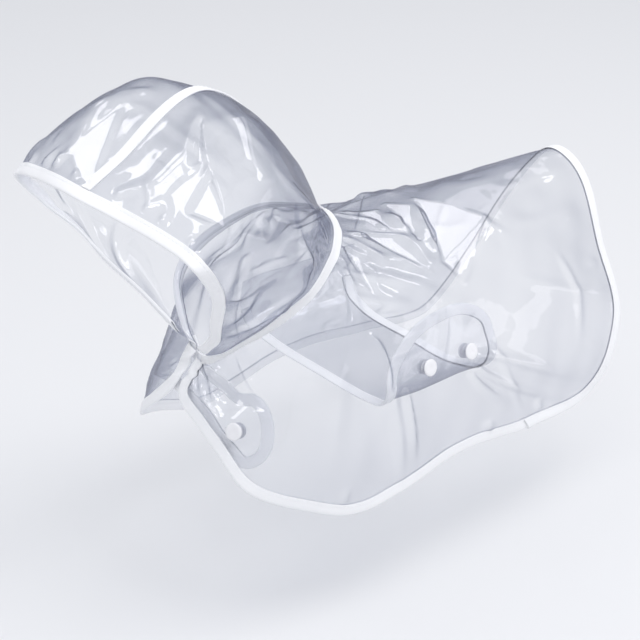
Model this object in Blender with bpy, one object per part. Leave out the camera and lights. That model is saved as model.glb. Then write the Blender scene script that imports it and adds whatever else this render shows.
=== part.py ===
"""Hooded raincoat for a small dog: clear film, bound edges and press studs.

Metres, +Z up. The wearer faces -X; -Y is the near side. The chest flap and the belly
strap come from the far side and close inside the near side of the cape. The origin
lies on the wearer's withers, under the cape, just behind the neck seam.

The coat's middle surface is one form. It is read at an angle round the wearer
(0 along the spine, 180 at the throat, positive on the near side) and a share
along the cut (-1 at the hem, 0 at the neck seam, 1 at the face opening). Every
panel, binding and tape is made from points of that form, moved out or in.
"""

from collections import namedtuple
from math import pi

import bmesh
import bpy
import numpy as np

MM = 0.001

FILM = 1.0 * MM  # wall of every film panel
TAPE = 1.0 * MM  # wall of the woven tapes and bindings
GAP = 0.3 * MM  # between pieces that are sewn or pressed together
BINDING_WIDTH = 8.0 * MM  # how far a binding covers the film
SEAM_TAPE_WIDTH = 9.0 * MM  # the tape on the hood's centre seam
NECK_TAPE_WIDTH = 9.0 * MM  # the ring of tape on the neck seam
# The hood sits a little turned: how far back its near side lies at each section, per metre out.
HOOD_TURN = {"back_": 0.04, "top_": 0.08, "brim_": 0.07, "face_": 0.05}

NEAR_EDGE = 188.0  # degrees: the cape's front edge on the near side, past the throat
FAR_EDGE = -168.0  # degrees: its front edge on the far side
CORNER_ANGLE = 16.0  # degrees over which each front corner is rounded
CORNER_SHARE = 0.42  # share of the cut that a rounded corner takes
HOOD_NEAR_EDGE = 176.0  # degrees: where the near hood half ends at the throat
HOOD_FAR_EDGE = -168.0  # degrees: where the far hood half ends
NECK_TAPE_END = 184.0  # degrees: the neck tape runs on over the cape's near front
SEAM_HALF_GAP = 0.15 * MM  # each hood half stops this far from the centre seam

TUCK = 1.3 * MM  # how far in a tab lies where it is sewn to the cape
LAP = 4.4 * MM  # how far in a tab lies where a press stud holds it
TAB_GAP = 0.5 * MM  # between a tab's film and its binding

Neck = namedtuple("Neck", "angle x out z")
NECK = (  # the neck seam, millimetres
    Neck(0, -9, 0, 4),
    Neck(20, -16, 19, 3),
    Neck(40, -28, 36, 0),
    Neck(60, -44, 48, -7),
    Neck(80, -65, 55, -17),
    Neck(100, -85, 54, -28),
    Neck(120, -99, 47, -38),
    Neck(140, -107, 34, -49),
    Neck(160, -112, 18, -63),
    Neck(180, -113, 0, -74),
)

Cape = namedtuple("Cape", "angle side_x side_out side_z drop_x drop_out drop_z hem_x hem_out hem_z")
CAPE = (  # sections of the cape from the neck seam over the body to the hem, millimetres
    Cape(0, 75, 0, -11, 150, 0, -14, 236, 0, -14),
    Cape(14, 72, 22, -15, 148, 27, -22, 239, 27, -33),
    Cape(26, 66, 40, -24, 142, 52, -42, 233, 52, -75),
    Cape(38, 55, 56, -38, 130, 73, -75, 228, 80, -131),
    Cape(50, 38, 66, -50, 94, 84, -104, 187, 90, -180),
    Cape(62, 15, 71, -56, 52, 89, -114, 114, 95, -177),
    Cape(76, -14, 75, -60, 14, 90, -115, 42, 95, -168),
    Cape(90, -45, 76, -64, -28, 90, -120, -20, 95, -178),
    Cape(106, -74, 72, -70, -66, 86, -125, -60, 90, -179),
    Cape(122, -95, 62, -74, -100, 76, -116, -100, 81, -161),
    Cape(140, -108, 45, -78, -118, 57, -108, -128, 62, -144),
    Cape(160, -115, 23, -83, -126, 29, -100, -134, 32, -119),
    Cape(180, -118, 0, -86, -127, 0, -97, -133, 0, -108),
)

Hood = namedtuple(
    "Hood", "angle back_x back_out back_z top_x top_out top_z brim_x brim_out brim_z face_x face_out face_z"
)
HOOD = (  # sections of the hood from the neck seam over the head to the face, millimetres
    Hood(0, -50, 0, 63, -110, 0, 116, -174, 0, 84, -202, 0, 69),
    Hood(25, -57, 31, 58, -119, 42, 112, -175, 37, 83, -197, 33, 65),
    Hood(45, -68, 52, 48, -130, 69, 98, -173, 67, 77, -192, 61, 60),
    Hood(62, -80, 68, 34, -142, 86, 76, -176, 88, 65, -189, 83, 55),
    Hood(78, -91, 77, 16, -147, 92, 52, -176, 96, 51, -187, 93, 49),
    Hood(95, -101, 77, -2, -143, 89, 27, -165, 90, 29, -174, 87, 31),
    Hood(115, -109, 66, -20, -135, 75, -2, -153, 75, 8, -160, 72, 13),
    Hood(140, -114, 41, -45, -127, 48, -32, -141, 51, -20, -146, 51, -13),
    Hood(165, -115, 17, -63, -121, 20, -57, -125, 22, -49, -127, 22, -46),
    Hood(180, -115, 0, -71, -118, 0, -67, -121, 0, -63, -122, 0, -61),
)

Fold = namedtuple("Fold", "neck_angle hem_angle start end width depth")
FOLDS = (  # largest folds: degrees at the neck and at the hem, shares, degrees, millimetres
    Fold(16, 10, 0.00, -0.42, 5.0, 2.4),
    Fold(30, 22, 0.00, -0.55, 5.0, 3.0),
    Fold(42, 33, -0.02, -0.40, 4.5, 2.6),
    Fold(53, 46, 0.00, -0.50, 4.5, 3.0),
    Fold(64, 60, -0.02, -0.36, 4.5, 2.4),
    Fold(84, 86, -0.05, -0.95, 6.0, 3.2),
    Fold(94, 90, -0.20, -1.10, 6.0, -2.6),
    Fold(108, 112, -0.05, -0.60, 6.0, 2.2),
    Fold(66, 44, -0.62, -1.05, 4.5, 2.6),
    Fold(70, 54, -0.62, -1.10, 4.5, -2.4),
    Fold(-14, -8, 0.00, -0.46, 5.0, 2.6),
    Fold(-27, -20, 0.00, -0.60, 5.0, 2.6),
    Fold(-40, -34, -0.02, -0.36, 4.5, 2.8),
    Fold(-55, -50, 0.00, -0.52, 4.5, 2.6),
    Fold(-70, -64, -0.02, -0.70, 5.0, 2.4),
    Fold(-88, -92, -0.10, -1.00, 6.0, 3.0),
    Fold(-103, -98, -0.25, -1.10, 6.0, -2.6),
    Fold(-120, -124, -0.05, -0.60, 6.0, 2.2),
    Fold(-62, -46, -0.66, -1.10, 4.5, 2.4),
    Fold(27, 27, 0.10, 0.95, 6.0, 2.4),
    Fold(52, 60, 0.00, 0.55, 6.0, 2.2),
    Fold(84, 96, 0.00, 0.50, 6.0, 2.2),
    Fold(-24, -30, 0.10, 0.90, 6.0, 2.4),
    Fold(-55, -66, 0.00, 0.60, 6.0, 2.2),
    Fold(-92, -98, 0.00, 0.50, 6.0, 2.0),
)


# ---------------------------------------------------------------- the coat's form

STEP_A, STEP_B = 0.5, 0.004  # how far apart a form is read to find its slopes
WALK, WALK_POINTS = 0.72, 37  # how far along the cut a distance is looked for, and how finely
SEARCH_ROUNDS = 12  # rounds that find a place on the coat from its x and z
SEARCH_ANGLE, SEARCH_SHARE = 68.0, -0.5  # where that search starts
SEARCH_TURN, SEARCH_SLIDE = 12.0, 0.2  # how far it moves in one round: degrees and share
FOLD_FULLNESS = 0.8  # power of the sine along a fold; below 1 its ends are blunter
MOST_SLANT = 0.8  # a path's slant to the cut is not taken beyond this cosine


def column(rows, name):
    """Knots and values of a column, mirrored past 0 and 180 degrees."""
    angles = np.array([row.angle for row in rows], float)
    values = np.array([getattr(row, name) for row in rows], float)
    sign = -1.0 if name.endswith("out") else 1.0
    knots = np.concatenate([-angles[:0:-1], angles, 360.0 - angles[-2::-1]])
    return knots, np.concatenate([sign * values[:0:-1], values, sign * values[-2::-1]])


def smooth(knots, values, at):
    """A cubic curve through the knots, read at the given places."""
    slopes = np.gradient(values, knots)
    i = np.clip(np.searchsorted(knots, at) - 1, 0, len(knots) - 2)
    span = knots[i + 1] - knots[i]
    t = (at - knots[i]) / span
    start = (1 + 2 * t) * (1 - t) ** 2 * values[i] + t * (1 - t) ** 2 * span * slopes[i]
    end = t * t * (3 - 2 * t) * values[i + 1] + t * t * (t - 1) * span * slopes[i + 1]
    return start + end


def section_points(rows, stem, angle):
    """One control point of the sections at each angle, in metres."""
    x, out, z = (smooth(*column(rows, stem + axis), angle) for axis in ("x", "out", "z"))
    return np.stack([x, -out, z], -1) * MM


def hood_points(stem, angle):
    """A hood control point, moved back on the near side and forward on the far side."""
    points = section_points(HOOD, stem, angle)
    points[..., 0] -= HOOD_TURN[stem] * points[..., 1]
    return points


def through(chain, place):
    """The smooth curve through a chain of points, read at a place from 0 to its last.

    Its direction at a point leans to the nearer neighbour, so uneven chains don't loop.
    """
    steps = np.diff(chain, axis=0)
    lengths = np.linalg.norm(steps, axis=-1, keepdims=True)
    heads = steps / lengths
    before, after = lengths[:-1], lengths[1:]
    inner = (heads[:-1] * after + heads[1:] * before) / (before + after)
    heads = np.concatenate([heads[:1], inner, heads[-1:]])
    i = np.clip(np.floor(place).astype(int), 0, len(chain) - 2)
    t = (place - i)[:, None]
    each = np.arange(chain.shape[1])
    span = lengths[i, each]
    start = (1 + 2 * t) * (1 - t) ** 2 * chain[i, each] + t * (1 - t) ** 2 * span * heads[i, each]
    end = t * t * (3 - 2 * t) * chain[i + 1, each] + t * t * (t - 1) * span * heads[i + 1, each]
    return start + end


def plain_form(angle, share):
    """Points of the coat's middle surface without its folds."""
    angle, share = np.broadcast_arrays(np.asarray(angle, float), np.asarray(share, float))
    shape = angle.shape
    angle, share = angle.ravel(), share.ravel()
    chain = [section_points(CAPE, stem, angle) for stem in ("hem_", "drop_", "side_")]
    chain += [section_points(NECK, "", angle)]
    chain += [hood_points(stem, angle) for stem in HOOD_TURN]
    place = 3 + np.where(share > 0, len(HOOD_TURN), 3) * share
    return through(np.stack(chain), place).reshape(shape + (3,))


def unit(vectors):
    return vectors / np.linalg.norm(vectors, axis=-1, keepdims=True)


def outward(form, a, b):
    """Unit normals of a form, pointing away from the wearer."""
    across = form(a + STEP_A, b) - form(a - STEP_A, b)
    along = form(a, b + STEP_B) - form(a, b - STEP_B)
    return unit(np.cross(along, across))


def moved_out(form, a, b, lift):
    """Points of a form, moved out along its normals."""
    return form(a, b) + outward(form, a, b) * np.asarray(lift)[..., None]


def fold_height(angle, share):
    """How far the folds lift or sink the film, in metres."""
    height = np.zeros(np.broadcast(angle, share).shape)
    for fold in FOLDS:
        path = fold.neck_angle + (fold.hem_angle - fold.neck_angle) * np.abs(share)
        across = np.exp(-(((angle - path) / fold.width) ** 2))
        along = np.clip((share - fold.start) / (fold.end - fold.start), 0, 1)
        height += fold.depth * MM * across * np.sin(pi * along) ** FOLD_FULLNESS
    return height


def coat(angle, share):
    """Points of the folded middle surface."""
    angle, share = np.broadcast_arrays(np.asarray(angle, float), np.asarray(share, float))
    normal = outward(plain_form, angle, share)
    return plain_form(angle, share) + normal * fold_height(angle, share)[..., None]


def share_step(angle, share, distance):
    """The share that lies the given distance further along the cut."""
    angle, share, distance = np.broadcast_arrays(angle, share, distance)
    places = share.ravel() + np.sign(distance).ravel() * np.linspace(0, WALK, WALK_POINTS)[:, None]
    path = coat(angle.ravel(), places)
    steps = np.linalg.norm(np.diff(path, axis=0), axis=-1)
    lengths = np.concatenate([np.zeros((1, angle.size)), np.cumsum(steps, 0)])
    wanted = np.abs(distance).ravel()
    found = [np.interp(wanted[k], lengths[:, k], places[:, k]) for k in range(angle.size)]
    return np.array(found).reshape(angle.shape)


def angle_step(angle, share, distance):
    """The angle that lies the given distance further round the coat."""
    step = STEP_A
    speed = np.linalg.norm(coat(angle + step, share) - coat(angle - step, share), axis=-1)
    return angle + distance * 2 * step / speed


def walked(path):
    """The direction of a path at each of its points, which may be unevenly spaced."""
    steps = np.linalg.norm(np.diff(path, axis=0), axis=-1)
    return unit(np.gradient(path, np.concatenate([[0.0], np.cumsum(steps)]), axis=0))


def slant(angle, share):
    """How much longer a way square to a path is when it is walked along the cut."""
    walk = walked(coat(angle, share))
    cut = unit(coat(angle, share + STEP_B) - coat(angle, share - STEP_B))
    return 1 / np.sqrt(1 - np.clip(np.abs((walk * cut).sum(-1)), 0, MOST_SLANT) ** 2)


def inset(form, a, b, distance):
    """A path on a form, moved square to itself along the form, to its left.

    Left is as seen from outside, walking from the first point to the last.
    """
    walk = walked(form(a, b))
    left = np.cross(outward(form, a, b), walk)
    d_a = (form(a + STEP_A, b) - form(a - STEP_A, b)) / (2 * STEP_A)
    d_b = (form(a, b + STEP_B) - form(a, b - STEP_B)) / (2 * STEP_B)
    aa, ab, bb = (d_a * d_a).sum(-1), (d_a * d_b).sum(-1), (d_b * d_b).sum(-1)
    la, lb = (left * d_a).sum(-1), (left * d_b).sum(-1)
    spread = aa * bb - ab * ab
    return a + distance * (la * bb - lb * ab) / spread, b + distance * (lb * aa - la * ab) / spread


def on_side(x, z, side, lift):
    """The plain form's place at a given x and z on one side (1 near, -1 far), moved out by lift."""
    angle = np.full(np.shape(x), SEARCH_ANGLE * side)
    share = np.full(np.shape(x), SEARCH_SHARE)
    for _ in range(SEARCH_ROUNDS):
        miss = np.stack([x, z], -1) - moved_out(plain_form, angle, share, lift)[..., [0, 2]]
        d_a = plain_form(angle + STEP_A, share) - plain_form(angle - STEP_A, share)
        d_b = plain_form(angle, share + STEP_B) - plain_form(angle, share - STEP_B)
        d_a, d_b = d_a[..., [0, 2]] / (2 * STEP_A), d_b[..., [0, 2]] / (2 * STEP_B)
        spread = d_a[..., 0] * d_b[..., 1] - d_a[..., 1] * d_b[..., 0]
        turn = (miss[..., 0] * d_b[..., 1] - miss[..., 1] * d_b[..., 0]) / spread
        slide = (d_a[..., 0] * miss[..., 1] - d_a[..., 1] * miss[..., 0]) / spread
        angle = angle + np.clip(turn, -SEARCH_TURN, SEARCH_TURN)
        share = share + np.clip(slide, -SEARCH_SLIDE, SEARCH_SLIDE)
    return angle, share


# ---------------------------------------------------------------- making objects

Look = namedtuple("Look", "colour alpha roughness")
LOOKS = {
    "clear_film": Look((0.86, 0.88, 0.92), 0.25, 0.06),
    "white_tape": Look((0.86, 0.87, 0.90), 1.0, 0.75),
    "white_stud": Look((0.88, 0.88, 0.90), 1.0, 0.30),
}


def material(name):
    """The named Principled material, made on first use."""
    if name in bpy.data.materials:
        return bpy.data.materials[name]
    look = LOOKS[name]
    made = bpy.data.materials.new(name)
    made.use_nodes = True
    shader = made.node_tree.nodes["Principled BSDF"]
    shader.inputs["Base Color"].default_value = (*look.colour, 1.0)
    shader.inputs["Alpha"].default_value = look.alpha
    shader.inputs["Roughness"].default_value = look.roughness
    shader.inputs["Metallic"].default_value = 0.0
    return made


def solid(name, look, points, faces):
    """An object from points and faces, closed and with its faces pointing out."""
    mesh = bpy.data.meshes.new(name)
    mesh.from_pydata([tuple(p) for p in points], [], faces)
    edit = bmesh.new()
    edit.from_mesh(mesh)
    bmesh.ops.recalc_face_normals(edit, faces=edit.faces[:])
    if edit.calc_volume(signed=True) < 0:
        bmesh.ops.reverse_faces(edit, faces=edit.faces[:])
    # Each quad is cut from its first corner to its third. The functions below order corners so
    # that walls which lie on each other are cut along the same diagonals and stay parallel.
    bmesh.ops.triangulate(edit, faces=edit.faces[:], quad_method="FIXED")
    edit.to_mesh(mesh)
    edit.free()
    mesh.shade_smooth()
    mesh.materials.append(material(look))
    made = bpy.data.objects.new(name, mesh)
    bpy.context.collection.objects.link(made)
    return made


def sheet(name, look, outer, inner):
    """A wall between two grids of points, closed round its four sides."""
    rows, cols = outer.shape[:2]
    size = rows * cols
    faces = []
    for r in range(rows - 1):
        for c in range(cols - 1):
            a, b = r * cols + c, (r + 1) * cols + c
            faces.append((a, a + 1, b + 1, b))
            faces.append((size + a, size + b, size + b + 1, size + a + 1))
    rim = [(r, 0) for r in range(rows)] + [(rows - 1, c) for c in range(1, cols)]
    rim += [(r, cols - 1) for r in range(rows - 2, -1, -1)] + [(0, c) for c in range(cols - 2, 0, -1)]
    ring = [r * cols + c for r, c in rim]
    for a, b in zip(ring, ring[1:] + ring[:1]):
        faces.append((a, b, size + b, size + a))
    return solid(name, look, np.concatenate([outer.reshape(-1, 3), inner.reshape(-1, 3)]), faces)


def swept(name, look, profile, back):
    """A closed tube through rows of profile points, capped at both ends.

    Back says of each side of the profile whether its diagonals lean back along the tube.
    """
    rows, around = profile.shape[:2]
    faces = []
    for r in range(rows - 1):
        for k in range(around):
            n = (k + 1) % around
            here, there = r * around, (r + 1) * around
            if back[k]:
                faces.append((here + n, there + n, there + k, here + k))
            else:
                faces.append((here + k, here + n, there + n, there + k))
    faces.append(tuple(range(around)))
    faces.append(tuple((rows - 1) * around + k for k in range(around - 1, -1, -1)))
    return solid(name, look, profile.reshape(-1, 3), faces)


def film_sheet(name, form, a, b):
    """A film panel on a form, over grids of its two coordinates."""
    half = np.full(a.shape, FILM / 2)
    return sheet(name, "clear_film", moved_out(form, a, b, half), moved_out(form, a, b, -half))


def tape_sheet(name, form, a, b):
    """A tape that lies on the film's outside, over grids of the form's coordinates."""
    under = np.full(a.shape, FILM / 2 + GAP)
    return sheet(name, "white_tape", moved_out(form, a, b, under + TAPE), moved_out(form, a, b, under))


def binding(name, form, edge, inner, gap=GAP, ahead=False):
    """A folded tape over a film edge: one leg outside, one inside, joined past the edge.

    Edge and inner are paths on the form, each as its two coordinates; the legs reach
    from the edge to the inner path. Ahead is true where the film's diagonals reach the
    edge further along it than they leave the inner path.
    """
    past = unit(form(*edge) - form(*inner))
    near, far = FILM / 2 + gap, FILM / 2 + gap + TAPE
    flat = np.ones(len(past))
    rows = [
        moved_out(form, *inner, flat * far),
        moved_out(form, *edge, flat * far) + past * (gap + TAPE),
        moved_out(form, *edge, -flat * far) + past * (gap + TAPE),
        moved_out(form, *inner, -flat * far),
        moved_out(form, *inner, -flat * near),
        moved_out(form, *edge, -flat * near) + past * gap,
        moved_out(form, *edge, flat * near) + past * gap,
        moved_out(form, *inner, flat * near),
    ]
    return swept(name, "white_tape", np.stack(rows, 1), [k % 4 == (2 if ahead else 0) for k in range(8)])


def turned_solid(name, profile, centre, axis):
    """A round piece from (height, radius) rows, bottom to top, standing on centre along axis."""
    side_way = unit(np.cross(axis, (1.0, 0.0, 0.0)))
    other_way = np.cross(axis, side_way)
    turns = np.arange(STUD_SIDES) * 2 * pi / STUD_SIDES
    points, faces = [], []
    for height, radius in profile:
        ring = centre + axis * height + radius * (
            np.cos(turns)[:, None] * side_way + np.sin(turns)[:, None] * other_way
        )
        points.append(ring)
    for r in range(len(profile) - 1):
        for k in range(STUD_SIDES):
            n = (k + 1) % STUD_SIDES
            low, high = r * STUD_SIDES, (r + 1) * STUD_SIDES
            faces.append((low + k, low + n, high + n, high + k))
    faces.append(tuple(range(STUD_SIDES)))
    faces.append(tuple(range((len(profile) - 1) * STUD_SIDES, len(profile) * STUD_SIDES)))
    return solid(name, "white_stud", np.concatenate(points), faces)


# ---------------------------------------------------------------- hood

COLUMN_STEP = 4.0  # degrees between the cape's columns; the hood takes every second one
HOOD_ROWS = 14
NECK_SEAM_GAP = 0.25 * MM  # each panel stops this far from the neck seam
MOST_TAPED = 0.4  # share of a short column, at the throat, that the neck tape may cover


def face_inset(angle, distance):
    """The share a distance in from the face opening's edge."""
    face = np.ones_like(angle)
    return share_step(angle, face, -distance * slant(angle, face))


def hood_rows(angle):
    """Shares of the hood's rows: the seam, the neck tape's edge, then on to the face."""
    seam = np.zeros_like(angle)
    face = np.ones_like(angle)
    bound = face_inset(angle, BINDING_WIDTH + GAP)
    taped = share_step(angle, seam, NECK_TAPE_WIDTH / 2)
    taped = np.minimum(taped, MOST_TAPED * bound)
    between = np.linspace(0, 1, HOOD_ROWS - 2)[:, None] * (bound - taped) + taped
    start = share_step(angle, seam, NECK_SEAM_GAP)
    return np.concatenate([start[None], between, face[None]])


def angles(start, end, step):
    """Column angles from start to end, both included."""
    return np.linspace(start, end, round(abs(end - start) / step) + 1)


def make_hood():
    """Two halves that meet at the centre seam."""
    angle = angles(HOOD_FAR_EDGE, HOOD_NEAR_EDGE, 2 * COLUMN_STEP)
    share = hood_rows(angle)
    grid = np.repeat(angle[None, :], len(share), 0)
    for name, half, side in (("hood_near", angle >= 0, 1), ("hood_far", angle <= 0, -1)):
        columns = grid[:, half]
        columns[columns == 0] = side * angle_step(0.0, share[:, angle == 0].ravel(), SEAM_HALF_GAP)
        film_sheet(name, coat, columns, share[:, half])


def make_hood_tape():
    """The tape over the hood's centre seam, from the neck tape to the face binding."""
    rows = hood_rows(np.array([-1.0, 0.0, 1.0]))[1:-1, 1]
    rows[0] = share_step(0.0, rows[0], GAP)
    rows[-1] = share_step(0.0, rows[-1], -GAP)
    share = rows[:, None]
    half = angle_step(np.zeros_like(share), share, SEAM_TAPE_WIDTH / 2)
    angle = half * np.array([[-1.0, 0.0, 1.0]])
    tape_sheet("hood_seam_tape", coat, angle, np.broadcast_to(share, angle.shape))


def make_face_binding():
    """The binding round the face opening, from throat to throat."""
    angle = angles(HOOD_FAR_EDGE, HOOD_NEAR_EDGE, 2 * COLUMN_STEP)
    edge = (angle, np.ones_like(angle))
    binding("face_binding", coat, edge, (angle, face_inset(angle, BINDING_WIDTH)), ahead=True)


def make_neck_tape():
    """The ring of tape over the seam between hood and cape."""
    angle = angles(HOOD_FAR_EDGE, NECK_TAPE_END, COLUMN_STEP)
    seam = np.zeros_like(angle)
    half = NECK_TAPE_WIDTH / 2
    share = np.stack([share_step(angle, seam, -half), seam, share_step(angle, seam, half)], 1)
    tape_sheet("neck_tape", coat, np.repeat(angle[:, None], 3, 1), share)


# ---------------------------------------------------------------- cape

CAPE_ROWS = 15
CORNER_COLUMNS = 6


def cape_angles():
    """Column angles from the far front edge round the back to the near front edge."""
    turn = CORNER_ANGLE * np.sin(np.linspace(0, pi / 2, CORNER_COLUMNS + 1)[1:])
    far, near = FAR_EDGE + CORNER_ANGLE, NEAR_EDGE - CORNER_ANGLE
    return np.concatenate([far - turn[::-1], angles(far, near, COLUMN_STEP), near + turn])


def corner_turn(angle):
    """How far the edge has turned from the hem to a front edge, in radians; minus on the far side."""
    near = np.clip((angle - NEAR_EDGE + CORNER_ANGLE) / CORNER_ANGLE, 0, 1)
    far = np.clip((FAR_EDGE + CORNER_ANGLE - angle) / CORNER_ANGLE, 0, 1)
    return np.arcsin(near - far)


def cape_edge(angle):
    """The share of the cape's lower edge, which rises round both front corners."""
    return -1 + CORNER_SHARE * (1 - np.cos(corner_turn(angle)))


def hem_inset(angle, distance):
    """The share a distance in from the lower edge, along the cut."""
    hem = cape_edge(angle)
    return share_step(angle, hem, distance * slant(angle, hem) * np.cos(corner_turn(angle)))


def cape_rows(angle):
    """Shares of the cape's rows: the hem, the binding's edge, the neck tape's, the seam."""
    seam = np.zeros_like(angle)
    bound = np.maximum(hem_inset(angle, BINDING_WIDTH + GAP), share_step(angle, cape_edge(angle), GAP))
    taped = share_step(angle, seam, -NECK_TAPE_WIDTH / 2)
    between = np.linspace(0, 1, CAPE_ROWS - 2)[:, None] * (taped - bound) + bound
    start = share_step(angle, seam, -NECK_SEAM_GAP)
    return np.concatenate([cape_edge(angle)[None], between, start[None]])


def make_cape():
    angle = cape_angles()
    share = cape_rows(angle)
    film_sheet("cape", coat, np.repeat(angle[None, :], len(share), 0), share)


def make_hem_binding():
    """Up the far front edge, round the hem and both front corners, and up the near front edge."""
    hem = cape_angles()
    rows = cape_rows(hem)[2:-2]
    far, near = rows[::-1, 0], rows[:, -1]
    angle = np.concatenate([np.full(far.shape, FAR_EDGE), hem, np.full(near.shape, NEAR_EDGE)])
    share = np.concatenate([far, cape_edge(hem), near])
    in_share = np.concatenate([far, hem_inset(hem, BINDING_WIDTH), near])
    in_angle = angle_step(angle, share, -BINDING_WIDTH * np.sin(corner_turn(angle)))
    binding("hem_binding", coat, (angle, share), (in_angle, in_share))


# ---------------------------------------------------------------- tabs

Tab = namedtuple("Tab", "name form half start round_rows straight bound columns")


def make_tab(tab):
    """A film tab with a rounded end, and the binding round its free edges.

    It is read across from -half to half, and at a share from 0 at its tip to 1 at its
    seam. The rounded end has its own rows; the rest has the rows named in straight.
    """
    turn = np.linspace(0, pi, tab.columns)
    across = -tab.half * np.cos(turn)
    start = tab.start(across)
    t = np.linspace(0, 1, tab.round_rows + 1)[:-1, None]
    end_rows = start + (tab.straight[0] - start) * t
    rows = np.broadcast_to(tab.straight[:, None], tab.straight.shape + across.shape)
    share = np.concatenate([end_rows, rows])
    film_sheet(tab.name, tab.form, np.broadcast_to(across, share.shape), share)
    bound = tab.straight <= tab.bound
    first = np.concatenate([end_rows[1:, 0], tab.straight[bound]])
    last = np.concatenate([end_rows[1:, -1], tab.straight[bound]])
    edge = (
        np.concatenate([np.full_like(last, tab.half), across[::-1], np.full_like(first, -tab.half)]),
        np.concatenate([last[::-1], start[::-1], first]),
    )
    binding(tab.name + "_binding", tab.form, edge, inset(tab.form, *edge, BINDING_WIDTH), TAB_GAP)


# ---------------------------------------------------------------- chest flap

Flap = namedtuple("Flap", "angle top bottom")
FLAP = (  # the flap's upper and lower edges, as shares of the cape, at each angle
    Flap(128, -0.39, -0.92),
    Flap(140, -0.39, -0.92),
    Flap(152, -0.40, -0.94),
    Flap(165, -0.29, -0.93),
    Flap(182, -0.17, -0.86),
    Flap(196, -0.14, -0.74),
    Flap(228, -0.14, -0.70),
)
FLAP_HALF = 30.0  # the flap is read across from -30 at its upper edge to 30 at its lower
FLAP_TIP, FLAP_ROUND, FLAP_SLANT = 130.0, 17.0, 3.5  # degrees: its end, rounding and slant
FLAP_STRAIGHT, FLAP_BOUND = 152.0, 204.0  # degrees: below the rounding; where the binding starts
FLAP_FREE, FLAP_SEWN = 202.0, 224.0  # degrees: it rises from the inside to its seam between these


def flap_share(angle):
    return (angle - FLAP_TIP) / (FLAP[-1].angle - FLAP_TIP)


def flap_start(across):
    u = across / FLAP_HALF
    return flap_share(FLAP_TIP + FLAP_ROUND * (1 - np.sqrt(1 - u * u)) + FLAP_SLANT * u)


def flap_form(across, share):
    """Points of the chest flap's middle surface."""
    across, share = np.broadcast_arrays(np.asarray(across, float), np.asarray(share, float))
    angle = FLAP_TIP + (FLAP[-1].angle - FLAP_TIP) * share
    knots = np.array([row.angle for row in FLAP], float)
    top = smooth(knots, np.array([row.top for row in FLAP]), angle)
    bottom = smooth(knots, np.array([row.bottom for row in FLAP]), angle)
    place = (top + bottom) / 2 + across / FLAP_HALF * (bottom - top) / 2
    t = np.clip((FLAP_SEWN - angle) / (FLAP_SEWN - FLAP_FREE), 0, 1)
    return moved_out(plain_form, angle, place, -(TUCK + (LAP - TUCK) * t * t * (3 - 2 * t)))


def make_chest_flap():
    """The rounded flap on the far front, which closes inside the near front."""
    make_tab(
        Tab(
            name="chest_flap",
            form=flap_form,
            half=FLAP_HALF,
            start=flap_start,
            round_rows=4,
            straight=flap_share(angles(FLAP_STRAIGHT, FLAP[-1].angle, COLUMN_STEP)),
            bound=flap_share(FLAP_BOUND),
            columns=9,
        )
    )


# ---------------------------------------------------------------- belly strap

STRAP_X, STRAP_HALF = 32.5, 53.5  # millimetres: the strap's middle and half width
STRAP_TOP = -63.5  # millimetres: the height of its near end
STRAP_ROUND, STRAP_SKEW = 30.0, -6.0  # millimetres: how deep its rounded end is, front to rear

Side = namedtuple("Side", "down rise lift")
NEAR_SIDE = (  # where the strap lies on the near side: below its top, slope rearward, lift
    Side(0, 0.07, -4.4),
    Side(12, 0.03, -4.4),
    Side(25, -0.01, -4.4),
    Side(38, -0.06, -4.4),
)
FAR_SIDE = (  # where it lies on the far side, up to its seam
    Side(38, -0.03, -3.4),
    Side(27, 0.00, -2.6),
    Side(16, 0.00, -1.9),
)
Belly = namedtuple("Belly", "out down narrowing")
BELLY = (  # the strap under the belly: share of the way out, millimetres below the bends
    Belly(0.970, 10.0, 0.99),
    Belly(0.870, 18.0, 0.96),
    Belly(0.720, 21.5, 0.93),
    Belly(0.000, 24.0, 0.90),
    Belly(-0.720, 21.5, 0.93),
    Belly(-0.870, 18.0, 0.96),
    Belly(-0.970, 10.0, 0.99),
)
STRAP_SPARE, STRAP_POINTS = 6.0, 13  # millimetres past its edges that are read, and points across
STRAP_KNOTS = np.linspace(-STRAP_HALF - STRAP_SPARE, STRAP_HALF + STRAP_SPARE, STRAP_POINTS)
STRAP_BOUND = len(NEAR_SIDE) + len(BELLY) - 0.5  # rows: its binding ends below the far seam
STRAP_STRAIGHT_ROWS = 2 * (len(BELLY) + len(FAR_SIDE)) + 1  # past the rounded end, two a row of points


def side_row(row, side):
    """Points across the strap where it lies on one side of the coat."""
    x = (STRAP_X + STRAP_KNOTS) * MM
    z = (STRAP_TOP + row.rise * STRAP_KNOTS - row.down) * MM
    lift = np.full_like(x, row.lift * MM)
    return moved_out(plain_form, *on_side(x, z, side, lift), lift)


def strap_rows():
    """The strap's rows of points, from its near end under the belly to its far seam."""
    near = [side_row(row, 1) for row in NEAR_SIDE]
    far = [side_row(row, -1) for row in FAR_SIDE]
    under = []
    for row in BELLY:
        bend = near[-1] if row.out > 0 else far[0]
        points = bend * (1.0, abs(row.out), 1.0) - (0.0, 0.0, row.down * MM)
        points[:, 0] = STRAP_X * MM + (points[:, 0] - STRAP_X * MM) * row.narrowing
        under.append(points)
    return near + under + far


STRAP_ROWS = strap_rows()


def strap_form(across, share):
    """Points of the strap's middle surface."""
    across, share = np.broadcast_arrays(np.asarray(across, float), np.asarray(share, float))
    flat = across.ravel()
    chain = [
        np.stack([smooth(STRAP_KNOTS, points[:, axis], flat) for axis in range(3)], -1)
        for points in STRAP_ROWS
    ]
    place = share.ravel() * (len(chain) - 1)
    return through(np.stack(chain), place).reshape(share.shape + (3,))


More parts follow.
